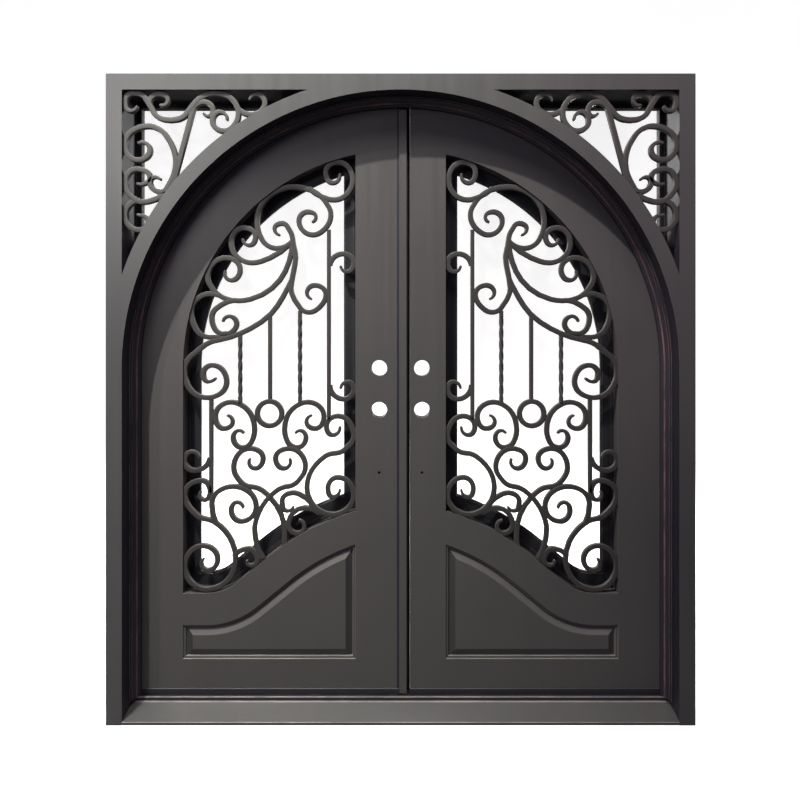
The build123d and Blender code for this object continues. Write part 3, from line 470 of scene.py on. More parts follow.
def plate(name, loops, y_front, y_back, materials, body, replaced, easing, mirrored=False):
    """A slab between two depths with this outline and these holes, given as loops of (x, z)."""
    points = [point for loop in loops for point in loop]
    count = len(points)
    work = bmesh.new()
    corners = [work.verts.new((x, y, z)) for y in (y_front, y_back) for x, z in points]
    for triangle in tessellate_polygon([[Vector((x, z, 0)) for x, z in loop] for loop in loops]):
        work.faces.new([corners[i] for i in triangle])
        work.faces.new([corners[i + count] for i in reversed(triangle)])
    start = 0
    for loop in loops:
        for index in range(len(loop)):
            here, there = start + index, start + (index + 1) % len(loop)
            work.faces.new([corners[here], corners[there], corners[there + count], corners[here + count]])
        start += len(loop)
    mesh = bpy.data.meshes.new(name)
    write_merged(work, mesh, FLAT_PLATE)
    if mirrored:
        mesh.transform(MIRROR)
        mesh.flip_normals()
    add_materials(mesh, materials)
    smooth_faces(mesh)
    return dressed(ease_edges(in_scene(name, mesh), easing), body, replaced)


def eased_copy(name, node_name, materials, body, easing):
    """The node's own shape with its edges eased."""
    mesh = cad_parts[node_name].data.copy()
    mesh.name = name
    work = bmesh.new()
    work.from_mesh(mesh)
    bmesh.ops.remove_doubles(work, verts=work.verts, dist=MERGE_DISTANCE)
    write_merged(work, mesh, FLAT_COPY)
    mesh.materials.clear()
    add_materials(mesh, materials)
    for polygon in mesh.polygons:
        polygon.material_index = 0
    smooth_faces(mesh)
    return dressed(ease_edges(in_scene(name, mesh), easing), body, [node_name])


def skin(rows, size, start=0, ring=False):
    """Faces between rows of corners, row by row; the ends are capped, or the last row joins the first."""
    faces = []
    for row in range(rows if ring else rows - 1):
        low, high = start + row * size, start + (row + 1) % rows * size
        for index in range(size):
            turn = (index + 1) % size
            faces.append((low + index, low + turn, high + turn, high + index))
    if not ring:
        last = start + (rows - 1) * size
        faces += [tuple(range(start, start + size)), tuple(range(last, last + size))]
    return faces


def moulded(section, front, outline):
    """Corners and marks of a section carried round an outline, whose function takes the inset."""
    vertices, marks = [], []
    for inset, depth, mark in section:
        loop = outline(inset)
        vertices += [(x, front + depth * MM, z) for x, z in loop]
        marks += [mark] * len(loop)
    return vertices, marks


def on_arch(radius, angle):
    return (radius * cos(radians(angle)), SPRING_Z + radius * sin(radians(angle)))


def arch_angle(radius, x):
    return degrees(atan2(sqrt(radius**2 - x**2), x))


def arch_points(radius, angle_from, angle_to, steps=None):
    steps = steps or max(4, round(ARC_STEPS * abs(angle_to - angle_from) / 90))
    return [on_arch(radius, angle_from + (angle_to - angle_from) * i / steps) for i in range(steps + 1)]


# The curved rail's line, with two knees
LOW_KNEE = (-OPENING_RADIUS + LOW_KNEE_RUN, CURVE_LOW_Z)
HIGH_KNEE = (-OPENING_LOCK_X - HIGH_KNEE_RUN, CURVE_HIGH_Z - HIGH_KNEE_DROP)
CURVE_SLOPE = atan2(HIGH_KNEE[1] - LOW_KNEE[1], HIGH_KNEE[0] - LOW_KNEE[0])
CURVE_END_SLOPE = atan2(HIGH_KNEE_DROP, HIGH_KNEE_RUN)
CURVE_HIGH_RADIUS = hypot(HIGH_KNEE_RUN, HIGH_KNEE_DROP) / tan((CURVE_SLOPE - CURVE_END_SLOPE) / 2)
LOW_CENTRE = (LOW_KNEE[0] - CURVE_LOW_RADIUS * tan(CURVE_SLOPE / 2), CURVE_LOW_Z + CURVE_LOW_RADIUS)
HIGH_CENTRE = (
    -OPENING_LOCK_X + CURVE_HIGH_RADIUS * sin(CURVE_END_SLOPE),
    CURVE_HIGH_Z - CURVE_HIGH_RADIUS * cos(CURVE_END_SLOPE),
)


def curve_points(drop, x_left, x_right):
    """The curved rail's upper line, lowered by drop, from left to right."""
    low_radius, high_radius = CURVE_LOW_RADIUS + drop, CURVE_HIGH_RADIUS - drop
    end_slope = asin((HIGH_CENTRE[0] - x_right) / high_radius)
    line = [(x_left, CURVE_LOW_Z - drop)]
    for step in range(BEND_STEPS + 1):
        slope = CURVE_SLOPE * step / BEND_STEPS
        line.append((LOW_CENTRE[0] + low_radius * sin(slope), LOW_CENTRE[1] - low_radius * cos(slope)))
    for step in range(BEND_STEPS + 1):
        slope = CURVE_SLOPE + (end_slope - CURVE_SLOPE) * step / BEND_STEPS
        line.append((HIGH_CENTRE[0] - high_radius * sin(slope), HIGH_CENTRE[1] + high_radius * cos(slope)))
    return line


def opening_loop(inset=0.0, bottom_inset=0.0):
    """The left leaf's glazed opening; every inset gives as many points."""
    x_left, x_right = -OPENING_RADIUS + inset, -OPENING_LOCK_X - inset
    radius = OPENING_RADIUS - inset
    arch = arch_points(radius, arch_angle(radius, x_right), 180, ARC_STEPS)
    return curve_points(-bottom_inset, x_left, x_right) + arch


def panel_loop(inset=0.0):
    x_left, x_right = -OPENING_RADIUS + inset, -OPENING_LOCK_X - inset
    loop = curve_points(MID_RAIL + inset, x_left, x_right)
    return loop + [(x_right, PANEL_LOW_Z + inset), (x_left, PANEL_LOW_Z + inset)]


def leaf_loop(meeting_x):
    loop = [(meeting_x, LEAF_BOTTOM), (-LEAF_RADIUS, LEAF_BOTTOM)]
    return loop + arch_points(LEAF_RADIUS, 180, arch_angle(LEAF_RADIUS, meeting_x))


def hole_loop(x, z, radius):
    turns = [2 * pi * i / HOLE_STEPS for i in range(HOLE_STEPS)]
    return [(x + radius * cos(turn), z + radius * sin(turn)) for turn in turns]


# Outer frame

def corner_loop(inset=0.0, steps=None):
    """Glazed corner between jamb, head and arch on the left."""
    wall, top = ARCH_RADIUS - inset, HEAD_Z - inset
    radius = ARCH_RADIUS + ARCH_FACE + inset
    foot = 180 - degrees(atan2(sqrt(radius**2 - wall**2), wall))
    crown = 180 - degrees(atan2(top - SPRING_Z, sqrt(radius**2 - (top - SPRING_Z) ** 2)))
    return [(-wall, top)] + arch_points(radius, crown, foot, steps)


# The holes stay a hair inside, so that their upper edges and the arch's crown aren't on one line
HOLE_PLAY = 0.0002
HOLE_WALL = 2  # place of the walls' paint among the surround's
SIDEWAYS = 0.5


def make_surround():
    """Jambs, head and arch corners, welded and ground to one face; the walls of its holes take the darker
    paint, painted shade.
    """
    outer = [(-HALF_WIDTH, 0.0), (-HALF_WIDTH, FRAME_HEIGHT), (HALF_WIDTH, FRAME_HEIGHT), (HALF_WIDTH, 0.0)]
    outer += [(ARCH_RADIUS, 0.0)] + arch_points(ARCH_RADIUS, 0, 180) + [(-ARCH_RADIUS, 0.0)]
    left_hole = corner_loop(HOLE_PLAY)
    right_hole = [(-x, z) for x, z in left_hole]
    made = plate("surround", [outer, left_hole, right_hole], FRONT, BACK,
                 [FRAME_PAINT, SURROUND_EDGE, DARK_SHADE_PAINT], "frame",
                 ["left_jamb", "right_jamb", "head", "left_arch_corner", "right_arch_corner"], FRAME_EASING)
    for polygon in made.data.polygons:
        x, _, z = polygon.center
        outside = abs(x) > HALF_WIDTH - MM or z > FRAME_HEIGHT - MM or z < MM
        if abs(polygon.normal.y) < SIDEWAYS and not outside:
            polygon.material_index = HOLE_WALL
    return made


# Section of the stop moulding, as (out from the wall, depth behind the moulding's back face) in mm,
# and whether the strip up to the next point is rubbed, in a bright copper that is partly a painted highlight
STOP_SECTION = [
    (0, 0, 0), (0, -43.6, 1), (0.4, -44, 0), (4.9, -44, 1), (5.5, -43.4, 0), (5.5, -33.4, 0), (6.9, -32.2, 1),
    (7.5, -31.6, 0), (7.5, -29.6, 0), (8.2, -28.4, 0), (9.8, -26.8, 0), (11.9, -25.2, 0), (13.6, -23.4, 0),
    (14.6, -21.4, 0), (14.9, -19.8, 1), (15.5, -19.2, 0), (16.4, -18.8, 1), (17.2, -17.6, 1),
    (17.5, -15.8, 1), (17.2, -13.4, 1), (16.6, -12.0, 0), (17.4, -11.2, 0), (19.6, -10.6, 0),
    (21.8, -9.4, 0), (23.2, -7.8, 0), (24, -6.6, 0), (24, 0, 0),
]


def make_stop_moulding():
    """Runs up the left jamb, round the arch and down the right jamb in one sweep. Its dark paint is painted
    shade, and its bright rubbed lines are partly painted highlights.
    """
    foot = STOP_LOW.z
    path = [((-ARCH_RADIUS, foot), (1.0, 0.0))]
    steps = 2 * ARC_STEPS
    for step in range(steps + 1):
        angle = 180 - 180 * step / steps
        path.append((on_arch(ARCH_RADIUS, angle), (-cos(radians(angle)), -sin(radians(angle)))))
    path.append(((ARCH_RADIUS, foot), (-1.0, 0.0)))
    vertices = []
    for (x, z), (inward_x, inward_z) in path:
        for out, depth, _ in STOP_SECTION:
            vertices.append((x + inward_x * out * MM, STOP_HIGH.y + depth * MM, z + inward_z * out * MM))
    marks = [mark for _, _, mark in STOP_SECTION] * (len(path) - 1) + [0, 0]
    return piece("stop_moulding", vertices, skin(len(path), len(STOP_SECTION)), [DARK_SHADE_PAINT, RUBBED_HIGHLIGHT_LINE],
                 "frame", ["left_stop", "right_stop", "left_arch_stop", "right_arch_stop"],
                 marks, BEAD_ANGLE)


def bar_along(name, section, x_low, x_high, materials, body, replaced, smooth_angle=SILL_ANGLE,
              mirrored=False):
    """A bar across the doorway with this (y, z, mark) section; marked strips take the second paint: worn
    copper on the drips, a painted highlight on the sill.
    """
    vertices = [(x, y, z) for x in (x_low, x_high) for y, z, _ in section]
    marks = [mark for _, _, mark in section] + [0, 0]
    return piece(name, vertices, skin(2, len(section)), materials, body, replaced, marks, smooth_angle,
                 mirrored)


SILL_LINE = 0.0055  # painted highlight line along the top of the sill's slope


def eased_section(points, radius):
    """Corners of a (y, z) section rounded over; the roundings are marked for the second paint, a painted
    highlight on the sill and its stop.
    """
    section = []
    for index, here in enumerate(points):
        before, after = Vector(points[index - 1]), Vector(points[(index + 1) % len(points)])
        corner = Vector(here)
        inbound, outbound = (before - corner).normalized(), (after - corner).normalized()
        cut = radius / tan(inbound.angle(outbound) / 2)
        start, end = corner + inbound * cut, corner + outbound * cut
        for step in range(EASING_STEPS + 1):
            share = step / EASING_STEPS
            place = start * (1 - share) ** 2 + corner * 2 * share * (1 - share) + end * share**2
            section.append((place.x, place.y, 1 if step < EASING_STEPS else 0))
    return section


def make_sill():
    """Sloped sill, with a painted highlight line inserted after its first two corners; its eased edges are
    painted highlights too.
    """
    slope_end = SILL_STOP_LOW.y
    profile = [(FRONT, 0), (FRONT, SILL_LIP), (slope_end, SILL_HIGH.z), (BACK, SILL_HIGH.z), (BACK, 0)]
    section = eased_section(profile, SILL_EASING)
    fall = (SILL_HIGH.z - SILL_LIP) / (slope_end - FRONT)
    section.insert(2 * (EASING_STEPS + 1), (slope_end - SILL_LINE, SILL_HIGH.z - fall * SILL_LINE, 1))
    return bar_along("threshold", section, -ARCH_RADIUS, ARCH_RADIUS, [FRAME_PAINT, PAINTED_HIGHLIGHT_EDGE], "frame",
                     ["sill"])


def make_sill_stop():
    # Its faces take the dark paint, painted shade, and its eased edges a painted highlight
    low, high = SILL_STOP_LOW, SILL_STOP_HIGH
    profile = [(low.y, low.z), (low.y, high.z), (high.y, high.z), (high.y, low.z)]
    return bar_along("threshold_stop", eased_section(profile, SILL_EASING), low.x, high.x,
                     [DARK_SHADE_PAINT, PAINTED_HIGHLIGHT_EDGE], "frame", ["sill_stop"])


# Leaves

def make_leaf_skin(side):
    """Stiles and rails welded and ground to one face."""
    loops = [leaf_loop(meeting_edge(side)), opening_loop(), panel_loop()]
    loops += [hole_loop(-LOCK_HOLE_X, z, radius) for z, radius in LOCK_HOLES]
    members = ["hinge_stile", "arch_rail", "mid_rail", "bottom_rail", "lock_stile"]
    return plate(f"{side}_leaf_steelwork", loops, LEAF_FRONT, LEAF_BACK, [LEAF_PAINT, RUBBED_EDGE],
                 f"{side}_leaf", [f"{side}_{member}" for member in members], LEAF_EASING,
                 side == RIGHT)


def meeting_edge(side):
    """Where a leaf ends at the middle of the doorway, as drawn on the left."""
    return LEFT_MEETING_X if side == LEFT else -RIGHT_MEETING_X


# Raised panel from its back edge round to the field, as (inset, depth behind the leaf's face) in mm,
# and whether the strip up to the next point is rubbed, in a lighter paint that is partly a painted highlight
PANEL_SECTION = [
    (0.0, 49.0, 0), (0.0, 0.5, 1), (1.5, 3.9, 0), (1.9, 4.2, 0), (7.4, 4.2, 0), (8.0, 4.7, 1), (9.6, 9.4, 0),
    (10.1, 10.2, 0), (12.2, 10.4, 0), (12.8, 10.2, 0), (32.4, 0.6, 0), (33.8, 0.0, 0),
]
BEVEL_ROW = 9  # strip of the broad bevel
# The bevel's lit paint is a painted highlight, its shaded paint painted shade
SHADED, LIT = 2, 3  # places of its paints among the panel's


def make_panel(side):
    """The broad bevel is painted lighter along the curve, a painted highlight, and darker up both sides,
    painted shade.
    """
    vertices, marks = moulded(PANEL_SECTION, LEAF_FRONT, lambda inset: panel_loop(inset * MM))
    size = len(vertices) // len(PANEL_SECTION)
    bevel = BEVEL_ROW * size
    marks[bevel:bevel + size] = [LIT] * (size - 3) + [SHADED, 0, SHADED]
    return piece(f"{side}_raised_panel", vertices, skin(len(PANEL_SECTION), size),
                 [LEAF_PAINT, PANEL_EDGE, SHADED_PAINT, LIT_PAINT], f"{side}_leaf",
                 [f"{side}_panel"], marks[:-size] + [0, 0], PANEL_ANGLE, side == RIGHT)


def framed_bead(side, name, section, front, outline, body, replaced):
    """Stepped bead that runs round a pane, its section closed."""
    vertices, marks = moulded(section, front, outline)
    faces = skin(len(section), len(vertices) // len(section), ring=True)
    return piece(f"{side}_{name}", vertices, faces, [SASH_PAINT, RUBBED_EDGE], body,
                 [f"{side}_{replaced}"], marks, BEAD_ANGLE, side == RIGHT)


# Sections of both sashes, from the outer front corner inwards, as (share of the width, depth behind the
# front in mm), and whether the strip up to the next point is rubbed
SASH_SECTION = [
    (0.0, 0.8, 0), (0.02, 0.0, 0), (0.13, 0.0, 0), (0.15, 1.2, 0), (0.20, 1.2, 0), (0.22, 0.2, 1),
    (0.24, 0.0, 0), (0.86, 0.0, 0), (0.89, 0.4, 1), (0.91, 1.6, 0), (0.97, 1.8, 0), (1.0, 2.6, 0),
    (1.0, 16.0, 0), (0.0, 16.0, 0),
]
CORNER_SASH_SECTION = [
    (0.0, 0.6, 0), (0.03, 0.0, 1), (0.1, 0.0, 0), (0.9, 0.0, 1), (0.96, 0.5, 0), (1.0, 1.4, 0),
    (1.0, 24.0, 0), (0.0, 24.0, 0),
]


def make_sash(side):
    """The leaf's glazing sash. The pane passes into it."""
    return framed_bead(side, "glazing_sash", SASH_SECTION, SASH_LOW.y,
                       lambda share: opening_loop(share * SASH_WIDTH, share * SASH_BOTTOM),
                       f"{side}_leaf", "sash")


def make_corner_sash(side):
    return framed_bead(side, "corner_bead", CORNER_SASH_SECTION, CORNER_SASH_LOW.y,
                       lambda share: corner_loop(share * CORNER_SASH_WIDTH, CORNER_STEPS),
                       "frame", "corner_sash")


# Scrollwork: the stations that a smith marks along each bar's centre line, where it stands level
# or plumb and a few between, and the bar is bent smoothly through them
LEVEL = "level"
PLUMB = "plumb"
SAME_HEADING = 1e-6
BEND_ANGLE = radians(9)


def half_turn(angle):
    return (angle + pi) % (2 * pi) - pi


def heading_at(points, index):
    before = points[max(index - 1, 0)]
    after = points[min(index + 1, len(points) - 1)]
    here = points[index]
    if len(here) == 3:
        if here[2] == LEVEL:
            return 0.0 if after[0] > before[0] else pi
        return pi / 2 if after[1] > before[1] else -pi / 2
    if index in (0, len(points) - 1):
        return None
    chord_in = atan2(here[1] - before[1], here[0] - before[0])
    chord_out = atan2(after[1] - here[1], after[0] - here[0])
    length_in = hypot(here[0] - before[0], here[1] - before[1])
    length_out = hypot(after[0] - here[0], after[1] - here[1])
    return chord_in + half_turn(chord_out - chord_in) * length_in / (length_in + length_out)


def arc_to(start, heading, end):
    chord = atan2(end[1] - start[1], end[0] - start[0])
    return start, heading, hypot(end[0] - start[0], end[1] - start[1]), half_turn(chord - heading)


def along_arc(arc, share):
    start, heading, length, half = arc
    reach = length * (sin(half * share) / sin(half) if abs(half) > SAME_HEADING else share)
    angle = heading + half * share
    return (start[0] + reach * cos(angle), start[1] + reach * sin(angle), heading + 2 * half * share)


def bend_points(start, heading_start, end, heading_end):
    """Points along the two tangent arcs that join two stations."""
    across, up = end[0] - start[0], end[1] - start[1]
    out = (cos(heading_start), sin(heading_start))
    into = (cos(heading_end), sin(heading_end))
    along = across * (out[0] + into[0]) + up * (out[1] + into[1])
    open_angle = 2 * (1 - out[0] * into[0] - out[1] * into[1])
    square = across**2 + up**2
    if open_angle > SAME_HEADING:
        reach = (sqrt(along**2 + open_angle * square) - along) / open_angle
    else:
        reach = square / (2 * along)
    joint = (
        (start[0] + end[0] + reach * (out[0] - into[0])) / 2,
        (start[1] + end[1] + reach * (out[1] - into[1])) / 2,
    )
    first = arc_to(start, heading_start, joint)
    second = arc_to(joint, heading_start + 2 * first[3], end)
    points = []
    for arc in (first, second):
        count = max(1, round(abs(2 * arc[3]) / BEND_ANGLE))
        points += [along_arc(arc, step / count) for step in range(1, count + 1)]
    return points


def centre_line(stations):
    headings = [heading_at(stations, index) for index in range(len(stations))]
    if headings[0] is None:
        chord = atan2(stations[1][1] - stations[0][1], stations[1][0] - stations[0][0])
        headings[0] = chord if headings[1] is None else 2 * chord - headings[1]
    if headings[-1] is None:
        chord = atan2(stations[-1][1] - stations[-2][1], stations[-1][0] - stations[-2][0])
        headings[-1] = chord if len(stations) == 2 else 2 * chord - headings[-2]
    line = [(stations[0][0], stations[0][1], headings[0])]
    for index in range(len(stations) - 1):
        line += bend_points(stations[index], headings[index], stations[index + 1], headings[index + 1])
    return line


# Grid of the leaf's scroll drawing: across from the door's centre line, up from near the springing.
# The opening it was drawn for reaches from DRAWN_LOCK to DRAWN_RADIUS, and down by DRAWN_DROP.
DRAWN_LOCK = 44.6
DRAWN_RADIUS = 216.9
DRAWN_DROP = 225.7
DRAWN_SPRING = -0.5

# Scrolls with an eye at both ends
TOP_CORNER_SCROLL = [
    (60.5, 192), (67.5, 184, LEVEL), (74.5, 194, PLUMB), (62.5, 204.5, LEVEL), (47.5, 187, PLUMB),
    (66.5, 167, LEVEL), (78.5, 170), (91.5, 178.5),
]
CROWN_SCROLL = [
    (87.5, 145), (84.5, 150), (92.5, 155, LEVEL), (101.5, 146, PLUMB), (87.5, 132, LEVEL), (75.5, 138),
    (69.5, 152, PLUMB), (75.5, 166), (106.5, 180, LEVEL), (143.5, 145, PLUMB), (123.5, 118.5, LEVEL),
    (108.5, 125),
]
PLUME = [
    (121.5, 132), (126, 138, PLUMB), (118.5, 143.5, LEVEL), (110, 135), (107, 122), (104.8, 109, PLUMB),
    (107, 95), (109.5, 79, PLUMB), (106, 67), (91.5, 54.5, LEVEL), (79.5, 61), (74.5, 72, PLUMB),
    (85.5, 81.5, LEVEL), (93.5, 74, PLUMB), (89.5, 68),
]
UPPER_SIDE_SCROLL = [
    (157.5, 127), (151.5, 121.5, LEVEL), (145, 130, PLUMB), (156.5, 139, LEVEL), (169.5, 124, PLUMB),
    (148.5, 104, LEVEL), (130.5, 109), (110.5, 123),
]
MIDDLE_SIDE_SCROLL = [
    (175.5, 95), (169.5, 86.5, LEVEL), (160.5, 97, PLUMB), (174.5, 109, LEVEL), (193, 90, PLUMB),
    (187.5, 77), (162.5, 66, LEVEL), (138.5, 72), (120.5, 87), (111.5, 105), (108, 124),
]
SIDE_LINK = [(180.5, 71), (190.5, 73, LEVEL), (209.5, 55, PLUMB), (190.5, 29.5, LEVEL), (172.5, 30)]
INNER_CURL = [
    (160.5, 66), (175.5, 64), (189, 49, PLUMB), (177.5, 33, LEVEL), (168.5, 35), (164, 43, PLUMB),
    (171.5, 50.5, LEVEL), (177.5, 46),
]
LONG_SIDE_SCROLL = [
    (107, 93), (117.5, 70), (129.5, 53), (150.5, 38), (170.5, 29.5), (195.5, 22), (216.5, -5, PLUMB),
    (193.5, -31, LEVEL), (174, -15, PLUMB), (188.5, 1.5, LEVEL), (197.5, -7, PLUMB), (192.5, -15, LEVEL),
    (185.5, -12),
]
UPPER_LOCK_CURL = [(70.5, 101), (57.5, 113, LEVEL), (46.5, 104, PLUMB), (53.5, 95, LEVEL), (59.5, 100)]
LOWER_LOCK_CURL = [(70.5, -18), (56.5, -32.5, LEVEL), (46.5, -22, PLUMB), (52.5, -15, LEVEL), (59.5, -21)]
LOCK_SIDE_SCROLL = [
    (60.5, -61), (67.5, -68.5, LEVEL), (74, -60, PLUMB), (62.5, -49.5, LEVEL), (46.5, -69, PLUMB),
    (55.5, -83), (75.5, -90), (93.5, -121, PLUMB), (67.5, -148, LEVEL), (46.5, -128, PLUMB),
    (62.5, -111, LEVEL), (72.5, -122, PLUMB), (67.5, -130.5, LEVEL), (60.5, -124),
]
LOW_LOCK_CURL = [
    (107.5, -141), (113.5, -144.5), (118.5, -135, PLUMB), (107.5, -126.5, LEVEL), (95.5, -131), (86.5, -142),
]
FOOT_LOCK_CURL = [
    (80.5, -147), (95.5, -141.5, LEVEL), (112, -158, PLUMB), (102.5, -167, LEVEL), (96, -160, PLUMB),
    (100.5, -154),
]
RING_SCROLL = [
    (172.5, -49), (168, -55, PLUMB), (176.5, -62, LEVEL), (185.5, -50, PLUMB), (169.5, -35.5, LEVEL),
    (155.5, -41), (146, -63, PLUMB), (158.5, -81, LEVEL), (167.5, -71, PLUMB), (161.5, -64, LEVEL),
    (157.5, -66),
]
HEART_SIDE = [
    (151, -93), (145.5, -102, LEVEL), (137.5, -92, PLUMB), (150.5, -82, LEVEL), (167, -101, PLUMB),
    (159.5, -116), (138.5, -124), (130.5, -131), (119.5, -148), (115.5, -168), (117.5, -184),
]
HEART_LOCK = [
    (110.5, -93), (116.5, -102, LEVEL), (125, -92, PLUMB), (111.5, -82, LEVEL), (95, -100, PLUMB),
    (102.5, -115), (123.5, -124), (142.5, -148), (146, -163, PLUMB), (143.5, -179), (137.5, -192),
]
UPPER_HINGE_CURL = [
    (201.5, -90), (208.5, -85, LEVEL), (216.5, -94, PLUMB), (205.5, -104, LEVEL), (190.5, -91),
]
FOOT_SCROLL = [
    (200.5, -126), (196, -133.5, LEVEL), (190.5, -125, PLUMB), (199.5, -114, LEVEL), (216, -128, PLUMB),
    (203.5, -149), (185.5, -156), (168.5, -176), (165, -193, PLUMB), (193.5, -223, LEVEL),
    (216, -200, PLUMB), (197.5, -179.5, LEVEL), (183, -193, PLUMB), (192.5, -204, LEVEL), (197.5, -193),
]
INNER_FOOT_SCROLL = [
    (184.5, -158), (189, -138, PLUMB), (167.5, -120, LEVEL), (144.5, -140, PLUMB), (159.5, -155, LEVEL),
    (169.5, -144, PLUMB), (163.5, -136, LEVEL), (157.5, -141),
]
LOW_FOOT_CURL = [
    (166.5, -190), (152.5, -182.5, LEVEL), (143, -193, PLUMB), (149.5, -199, LEVEL), (153.5, -195),
]
RING_CENTRE = (131, -47)

TWO_EYED = (PLUME, LONG_SIDE_SCROLL, LOCK_SIDE_SCROLL, RING_SCROLL, FOOT_SCROLL)
EYE_FIRST = (
    TOP_CORNER_SCROLL, CROWN_SCROLL, UPPER_SIDE_SCROLL, MIDDLE_SIDE_SCROLL, LOW_LOCK_CURL, HEART_SIDE,
    HEART_LOCK, UPPER_HINGE_CURL,
)
EYE_LAST = (INNER_CURL, UPPER_LOCK_CURL, LOWER_LOCK_CURL, FOOT_LOCK_CURL, INNER_FOOT_SCROLL, LOW_FOOT_CURL)

# Upright bars, as (across, low end, high end)
LOCK_UPRIGHT = (71.5, -53, 137)
RING_UPRIGHT = (130.5, -36, 52)
HINGE_UPRIGHT = (189.5, -126, -29)
TWISTED_UPRIGHTS = ((100.5, -37, 56), (160.5, -37, 34))

# Scrolls of the glazed corners, as (across, down) from the corner of jamb and head, which is at
# DRAWN_CORNER_POINT. The corner they were drawn for is DRAWN_CORNER wide.
DRAWN_CORNER = 185
DRAWN_CORNER_POINT = (0.4, 0.5)
CORNER_RUNNER = [
    (14, 16.5), (8, 20.5, LEVEL), (2, 11.5, PLUMB), (10, 3, LEVEL), (19, 4.5), (26, 13.5), (35, 26.5),
    (48, 29.5, LEVEL), (60, 26.5), (68, 17.5), (76, 8.5), (92, 3, LEVEL), (110, 9.5), (115.5, 22.5, PLUMB),
    (114, 30.5), (101, 40.5, LEVEL), (89.5, 30.5, PLUMB), (97, 21.5, LEVEL), (104, 28.5),
]
CORNER_TOP_CURL = [(26, 13.5), (36, 3.5, LEVEL), (45, 9.5, PLUMB), (38, 15)]
CORNER_MIDDLE_CURL = [(71, 16.5), (81, 11.5, LEVEL), (90, 19.5, PLUMB), (86, 25.5), (81, 23.5)]
CORNER_END_CURL = [(113, 15.5), (128, 24, LEVEL), (142, 12.5, PLUMB), (134, 4, LEVEL), (127, 8.5)]
CORNER_BRACE = [(71, 15.5), (50, 94)]
CORNER_SIDE_SCROLL = [
    (53, 72), (47.5, 52), (36, 38.5), (25.5, 35.5, LEVEL), (2, 54, PLUMB), (15, 69.5, LEVEL),
    (27, 59.5, PLUMB), (16, 52.5),
]
CORNER_BRACE_CURL = [
    (52.5, 66), (52, 80), (48, 90.5), (38, 101.5, LEVEL), (27, 91.5, PLUMB), (32, 86.5, LEVEL), (37, 88.5),
]
CORNER_LOW_SCROLL = [
    (15, 93.5), (21, 93.5), (27, 87.5, PLUMB), (14, 78.5, LEVEL), (2, 92.5, PLUMB), (8, 105.5),
    (20, 111.5, LEVEL), (33, 108.5), (43, 103),
]
CORNER_FOOT_CURL = [
    (17, 110), (2, 124.5, PLUMB), (16, 139.5, LEVEL), (25, 132.5, PLUMB), (19, 125, LEVEL), (15, 124.5),
]


CORNER_CURLS = (
    CORNER_TOP_CURL, CORNER_MIDDLE_CURL, CORNER_END_CURL, CORNER_SIDE_SCROLL, CORNER_BRACE_CURL,
    CORNER_FOOT_CURL,
)

BAR_WIDTH = 0.0168
EYE_WIDTH = 0.0090
EYE_TAPER = 0.054
TIP_SHARES = (0.97, 0.85, 0.6, 0.3)  # sections of a rounded tip, as shares of half the bar's width
UPRIGHT_WIDTH = 0.013
UPRIGHT_STEP = 0.04
RING_RADIUS = 0.041
RING_STEPS = 72
TWIST_WIDTH = 0.012
TWIST_CHAMFER = 0.0012
TWIST_PITCH = 0.150
TWIST_STUB = 0.022
TWIST_STEPS = 15  # rows in a quarter turn
ROUND_OVER = 0.0017
FULLEST_ROUND = 0.9  # most that is rounded over of half a narrow bar
ROUND_STEPS = 3
LAYER_STEP = 0.00012  # how far each bar lies behind the one before, at a crossing
LAYERS = 6
BACK_PLAY = 0.0001
RING_LAYER, UPRIGHT_LAYER, STUB_LAYER = 1, 2, 3


def on_leaf(stations):
    """Carry stations from the drawing to the left leaf's opening."""
    carried = []
    for across, up, *mark in stations:
        share = (across - DRAWN_LOCK) / (DRAWN_RADIUS - DRAWN_LOCK)
        x = -OPENING_LOCK_X - share * (OPENING_RADIUS - OPENING_LOCK_X)
        rise = up - DRAWN_SPRING
        scale = OPENING_RADIUS / DRAWN_RADIUS if rise > 0 else (SPRING_Z - CURVE_LOW_Z) / DRAWN_DROP
        carried.append((x, SPRING_Z + rise * scale, *mark))
    return carried


def on_corner(stations):
    """Carry stations from the corner's drawing to the left corner opening."""
    outer = ARCH_RADIUS + ARCH_FACE
    scale = (ARCH_RADIUS - sqrt(outer**2 - ARCH_RADIUS**2)) / DRAWN_CORNER
    carried = []
    for across, down, *mark in stations:
        x = -ARCH_RADIUS + (across - DRAWN_CORNER_POINT[0]) * scale
        carried.append((x, HEAD_Z - (down - DRAWN_CORNER_POINT[1]) * scale, *mark))
    return carried


def across_ring(stations):
    return [(2 * RING_CENTRE[0] - across, up, *mark) for across, up, *mark in stations]


def bar_section(width, y_front, y_back):
    """Corners (aside, y) of a bar's section with its edges hammered round, and which strips are edges."""
    half = width / 2
    round_over = min(ROUND_OVER, half * FULLEST_ROUND)
    right, front, back = half - round_over, y_front + round_over, y_back - round_over
    section = []
    for aside, y, turn in ((right, back, 0), (-right, back, 90), (-right, front, 180), (right, front, 270)):
        for step in range(ROUND_STEPS + 1):
            angle = radians(turn + 90 * step / ROUND_STEPS)
            edge = 1 if step < ROUND_STEPS else 0
            section.append((aside + round_over * cos(angle), y + round_over * sin(angle), edge))
    return section


def forged_bar(bar, work, depths):
    """Add a swept bar to the corners, faces and marks gathered so far; bar gives (x, z, heading, width)."""
    vertices, faces, marks = work
    start = len(vertices)
    for x, z, heading, width in bar:
        for aside, y, _ in bar_section(width, *depths):
            vertices.append((x - sin(heading) * aside, y, z + cos(heading) * aside))
    edges = [edge for _, _, edge in bar_section(BAR_WIDTH, *depths)]
    faces += skin(len(bar), len(edges), start)
    marks += edges * (len(bar) - 1) + [0, 0]


